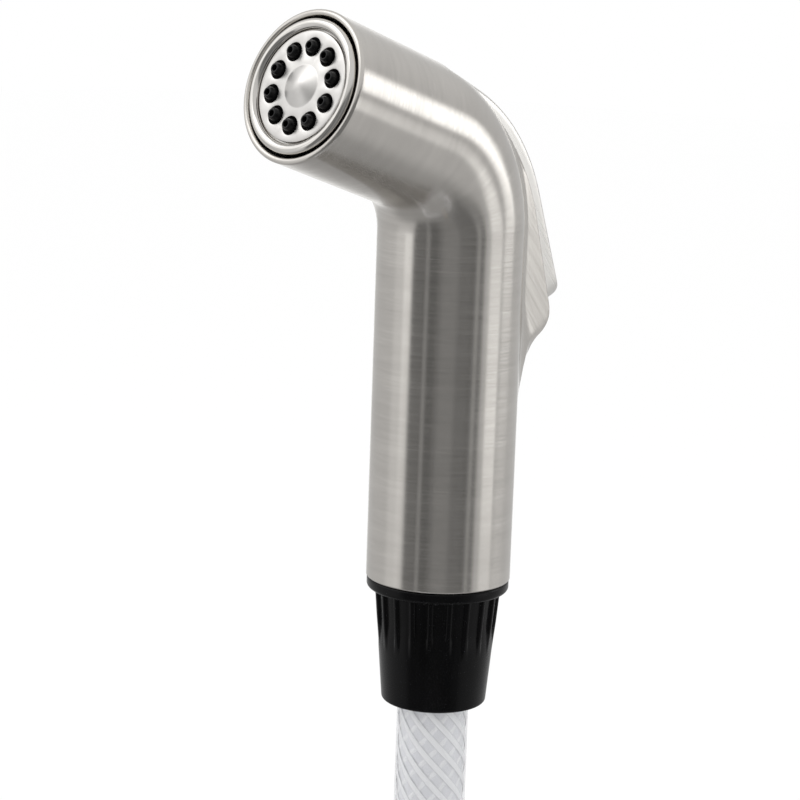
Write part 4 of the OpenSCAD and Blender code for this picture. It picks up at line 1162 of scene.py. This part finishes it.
spring = {"r": 2.6, "wire": 0.7, "turns": 5, "from": -9.07, "to": -1.655, "z": 62.4, "travel": 2.2,
          "closed": 0.9, "perTurn": 40}


def buildSpring():
    # end turns lie closed
    c = spring
    rise = c["to"] - c["from"] - c["wire"]
    turn = np.arange(c["turns"] * c["perTurn"] + 1) / c["perTurn"]
    end = c["closed"] * c["wire"] * 1.02
    along = np.interp(turn, [0, c["closed"], c["turns"] - c["closed"], c["turns"]],
                      [0, end, rise - end, rise])
    angle = fullTurn * turn
    path = np.stack([c["r"] * np.cos(angle), c["from"] + c["wire"] / 2 + along,
                     c["z"] + c["r"] * np.sin(angle)], 1)
    piece = tubeAlong("return_spring", path, c["wire"] / 2, 12)
    dress(piece, "steel", "body", "steel", "valve_spring")
    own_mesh(piece)


buildSpring()
say("spring made")


# supply nut and ferrule

supply = {"x": 129.0, "y": -128.0, "z": -143.1, "flat": 10.3, "cornerCut": 0.08, "cutSlope": 1.73,
          "back": 1.2, "mouth": 16.4, "collarR": 5.35, "shoulder": 5.55, "chamber": 9.0, "chamberR": 7.9,
          "threadR": 7.6, "threadDepth": 0.42, "pitch": 1.34, "around": 144}
ferrule = {"r": 7.65, "bore": 7.05, "len": 8.6, "top": 0.6, "hole": 6.1, "crimps": 4, "crimpDepth": 0.1,
           "roundLow": 0.2, "roundTop": 0.45}
supplyPlace = Matrix(((0, 0, 1, supply["x"]), (0, 1, 0, supply["y"]), (-1, 0, 0, supply["z"]), (0, 0, 0, 1)))


def buildSupplyNut():
    # six flats whose ends are cut to a cone, and a thread that winds round the bore
    c = supply
    back, mouth, around = c["back"], c["mouth"], c["around"]
    ends = np.array([0, 0.3, 0.6, 0.95, 1.5])
    outside = [*(back + ends), *np.linspace(back + 3, mouth - 3, 4), *(mouth - ends[::-1])]
    thread = np.arange(mouth - 0.6, c["chamber"] + 0.3, -c["pitch"] / 8)
    inside = [(c["threadR"] + 0.1, c["chamber"]), (c["chamberR"], c["chamber"] - 0.1),
              (c["chamberR"], c["shoulder"]), (c["collarR"], c["shoulder"]), (c["collarR"], back)]
    deep = c["threadR"] + c["threadDepth"]
    verts = []
    for k in range(around):
        a = fullTurn * k / around
        hexR = c["flat"] / math.cos(rad((math.degrees(a) + 30) % 60 - 30))
        line = [(min(hexR, c["flat"] - c["cornerCut"] + c["cutSlope"] * min(z - back, mouth - z)), z)
                for z in outside]
        line += [(deep + 0.5, mouth), (deep, mouth - 0.4)]
        for z in thread:
            share = (z / c["pitch"] - k / around) % 1
            line.append((c["threadR"] + c["threadDepth"] * min(1, abs(2 * share - 1) * 1.2), z))
        verts += [supplyPlace @ Vector((r * math.cos(a), r * math.sin(a), z)) for r, z in line + inside]
    piece = makePiece("supply_nut_body", verts, turnedFaces(around, len(verts) // around), 0.0005)
    creaseByAngle(piece, 28)
    dress(piece, "brass", "supply_nut", "brass", "supply_nut")
    return piece


def buildSupplyFerrule():
    c = ferrule
    r, bore, low, top, small, large = c["r"], c["bore"], -c["len"], c["top"], c["roundLow"], c["roundTop"]
    profile = [(bore, low + 0.1), (bore + 0.15, low)] + arcPoints(r - small, low + small, small, -90, 0, 4)
    step = (c["len"] - 1.6) / c["crimps"]
    for i in range(c["crimps"]):
        profile += [(r - c["crimpDepth"] * (1 - math.cos(fullTurn * t)), low + 0.9 + step * (i + t))
                    for t in (0, 0.15, 0.3, 0.5, 0.7, 0.85)]
    profile += arcPoints(r - large, top - large, large, 0, 90, 6)
    profile += [(c["hole"], top), (c["hole"], 0), (bore, 0)]
    piece = lathe("supply_sleeve", profile, supplyPlace, 96)
    dress(piece, "steel", "hose", "steel", "supply_ferrule")
    return piece


supplyNut = buildSupplyNut()
supplySleeve = buildSupplyFerrule()
say("supply end made")


# finish of every CAD node

finishes = {
    "shell": ("body_shell",),
    "lever": ("lever",),
    "plate": ("face_plate",),
    "polished": ("bezel_ring",),
    "greyPlastic": ("waterway_body",),
    "blackPlastic": ("flange_ring", "spray_cup", "coupling_nut"),
    "whitePlastic": ("flow_regulator",),
    "blackRubber": ("valve_washer", "seat_o_ring", "stem_o_ring", "duct_o_ring", "face_o_ring",
                    "nozzle_insert"),
    "redRubber": ("hose_washer", "supply_washer"),
    "brass": ("valve_stem", "valve_seat", "valve_bonnet", "hose_stem", "supply_stem", "supply_nut"),
    "steel": ("lever_pin", "valve_spring", "inlet_screen", "snap_ring", "hose_ferrule", "supply_ferrule"),
    "hoseTube": ("hose_run", "hose_coil", "hose_tail"),
}
for finish, names in finishes.items():
    for node in names:
        slots = nodes[node].material_slots
        if not slots:
            nodes[node].data.materials.append(mats[finish])
        for slot in slots:
            slot.material = mats[finish]
say("finishes given")


# floor, backdrop and light

studio = {"floorZ": -0.15345, "floorHalf": 4.0, "centre": (0.0, -0.02, 0.07), "diffuse": 0.9, "base": 0.64,
          "floorWhite": 1.045, "floorGlow": 0.75}
lamp = {"size": 0.6, "energy": 1.2, "place": (-0.35, -0.45, 0.8), "aim": (0, 0, 0.02)}
# each panel: turn from the camera, half width, height, half height, softness, level
panels = (
    (0, 400, 70, 45, 24, 0.8),       # above
    (0, 400, -80, 34, 20, 0.42),     # below
    (180, 14, -5, 22, 16, 1.3),      # behind
    (-93, 27, 28, 22, 16, 1.3),      # upper left card
    (-80, 14, -12, 20, 12, 0.8),     # left card
    (-2, 58, -16, 34, 8, 0.2),       # dark card in front
    (-30, 11, -14, 30, 6, 0.15),     # its darkest part
    (1, 13, -14, 30, 9, 0.27),       # a gap in it
    (-35, 3, -14, 30, 3, 0.34),      # narrow gap, left
    (45, 3, -14, 30, 3, 0.42),       # narrow gap, right
    (37, 4, -14, 30, 4, 0.17),       # edge beside it
    (-68, 7, -3, 8, 6, 1.25),        # inner edge of the left card
    (77, 11, -12, 6, 5, 1.5),        # right strip light, lower part
    (103, 11, 7, 9, 4, 2.5),         # right strip light, upper part
)


def panelGroup():
    # one soft-edged panel, by its direction from the object
    group, start, end = newGroup(
        "softPanel",
        {"Turn": 0.0, "Height": 0.0, "At": 0.0, "Half width": 30.0, "Up": 0.0, "Half height": 30.0,
         "Soft": 8.0},
        {"Amount": "Float"})
    given = start.outputs

    def share(gap, half):
        past = addMath(group, "SUBTRACT", addMath(group, "ABSOLUTE", gap), given[half])
        past = addMath(group, "DIVIDE", past, given["Soft"])
        return addRange(group, past, -0.5, 0.5, 1.0, 0.0, interpolation_type="SMOOTHSTEP")

    aside = addMath(group, "SUBTRACT", given["Turn"], given["At"])
    aside = addNode(group, "ShaderNodeMath", {0: aside, 1: 180.0, 2: -180.0}, operation="WRAP").outputs[0]
    above = addMath(group, "SUBTRACT", given["Height"], given["Up"])
    amount = addMath(group, "MULTIPLY", share(aside, "Half width"), share(above, "Half height"))
    feed(group, end.inputs[0], amount)
    return group


def studioGroup():
    # how bright the studio is in each direction: cards and strip lights round the object
    panel = panelGroup()
    group, start, end = newGroup("studioLevel", {"Direction": "Vector"}, {"Level": "Float"})
    x, y, z = addSplit(group, addVector(group, "NORMALIZE", start.outputs[0]))
    turn = addMath(group, "DEGREES", addMath(group, "ARCTAN2", y, x))
    turn = addMath(group, "SUBTRACT", turn, view["azimuth"] - 90)
    height = addMath(group, "DEGREES", addMath(group, "ARCSINE", z))
    level = studio["base"]
    for *sizes, strength in panels:
        values = dict(zip(("At", "Half width", "Up", "Half height", "Soft"), sizes))
        amount = useGroup(group, panel, turn, Height=height, **values)[0]
        level = addMix(group, amount, level, strength, "FLOAT")
    feed(group, end.inputs[0], level)
    return group


def studioStrength(tree, direction, group, white=1.0):
    # white to the camera and through clear pieces, the studio's cards to gloss, plain to the rest
    level = useGroup(tree, group, direction)[0]
    rays = addNode(tree, "ShaderNodeLightPath").outputs
    seen = addMath(tree, "MAXIMUM", rays["Is Camera Ray"], rays["Is Transmission Ray"])
    plain = addMix(tree, rays["Is Glossy Ray"], studio["diffuse"], level, "FLOAT")
    return addMix(tree, seen, plain, white, "FLOAT"), seen, rays["Is Glossy Ray"]


def addFloor(group):
    size, z = studio["floorHalf"], studio["floorZ"]
    mesh = bpy.data.meshes.new("floor")
    corners = [(-size, -size, z), (size, -size, z), (size, size, z), (-size, size, z)]
    mesh.from_pydata(corners, [], [(0, 1, 2, 3)])
    mat, tree, shader = newMaterial("paleFloor")
    feedAll(tree, shader, {"Base Color": (0.95, 0.95, 0.95), "Roughness": 0.8})
    direction = addVector(tree, "SUBTRACT", plainCoords(tree), studio["centre"])
    strength, seen, glossy = studioStrength(tree, direction, group, studio["floorWhite"])
    glow = addNode(tree, "ShaderNodeEmission", {"Color": (1, 1, 1), "Strength": strength}).outputs[0]
    # all glow to gloss, and to the camera part glow, part lit floor, which keeps the shadow
    share = addMath(tree, "MAXIMUM", addMath(tree, "MULTIPLY", seen, studio["floorGlow"]), glossy)
    both = addNode(tree, "ShaderNodeMixShader", {0: share, 1: shader.outputs[0], 2: glow}).outputs[0]
    feed(tree, tree.nodes["Material Output"].inputs["Surface"], both)
    mesh.materials.append(mat)
    addObject("floor", mesh)


def addLight(group):
    world = bpy.data.worlds.new("Studio")
    bpy.context.scene.world = world
    world.use_nodes = True
    tree = world.node_tree
    direction = addNode(tree, "ShaderNodeTexCoord").outputs["Generated"]
    strength = studioStrength(tree, direction, group)[0]
    feedAll(tree, tree.nodes["Background"], {"Color": (1, 1, 1), "Strength": strength})
    key = addObject("key", bpy.data.lights.new("key", "AREA"))
    key.data.size = lamp["size"]
    key.data.energy = lamp["energy"]
    key.location = lamp["place"]
    key.rotation_euler = (Vector(lamp["aim"]) - key.location).to_track_quat("-Z", "Y").to_euler()


studioTree = studioGroup()
addFloor(studioTree)
addLight(studioTree)
say("floor and light placed")
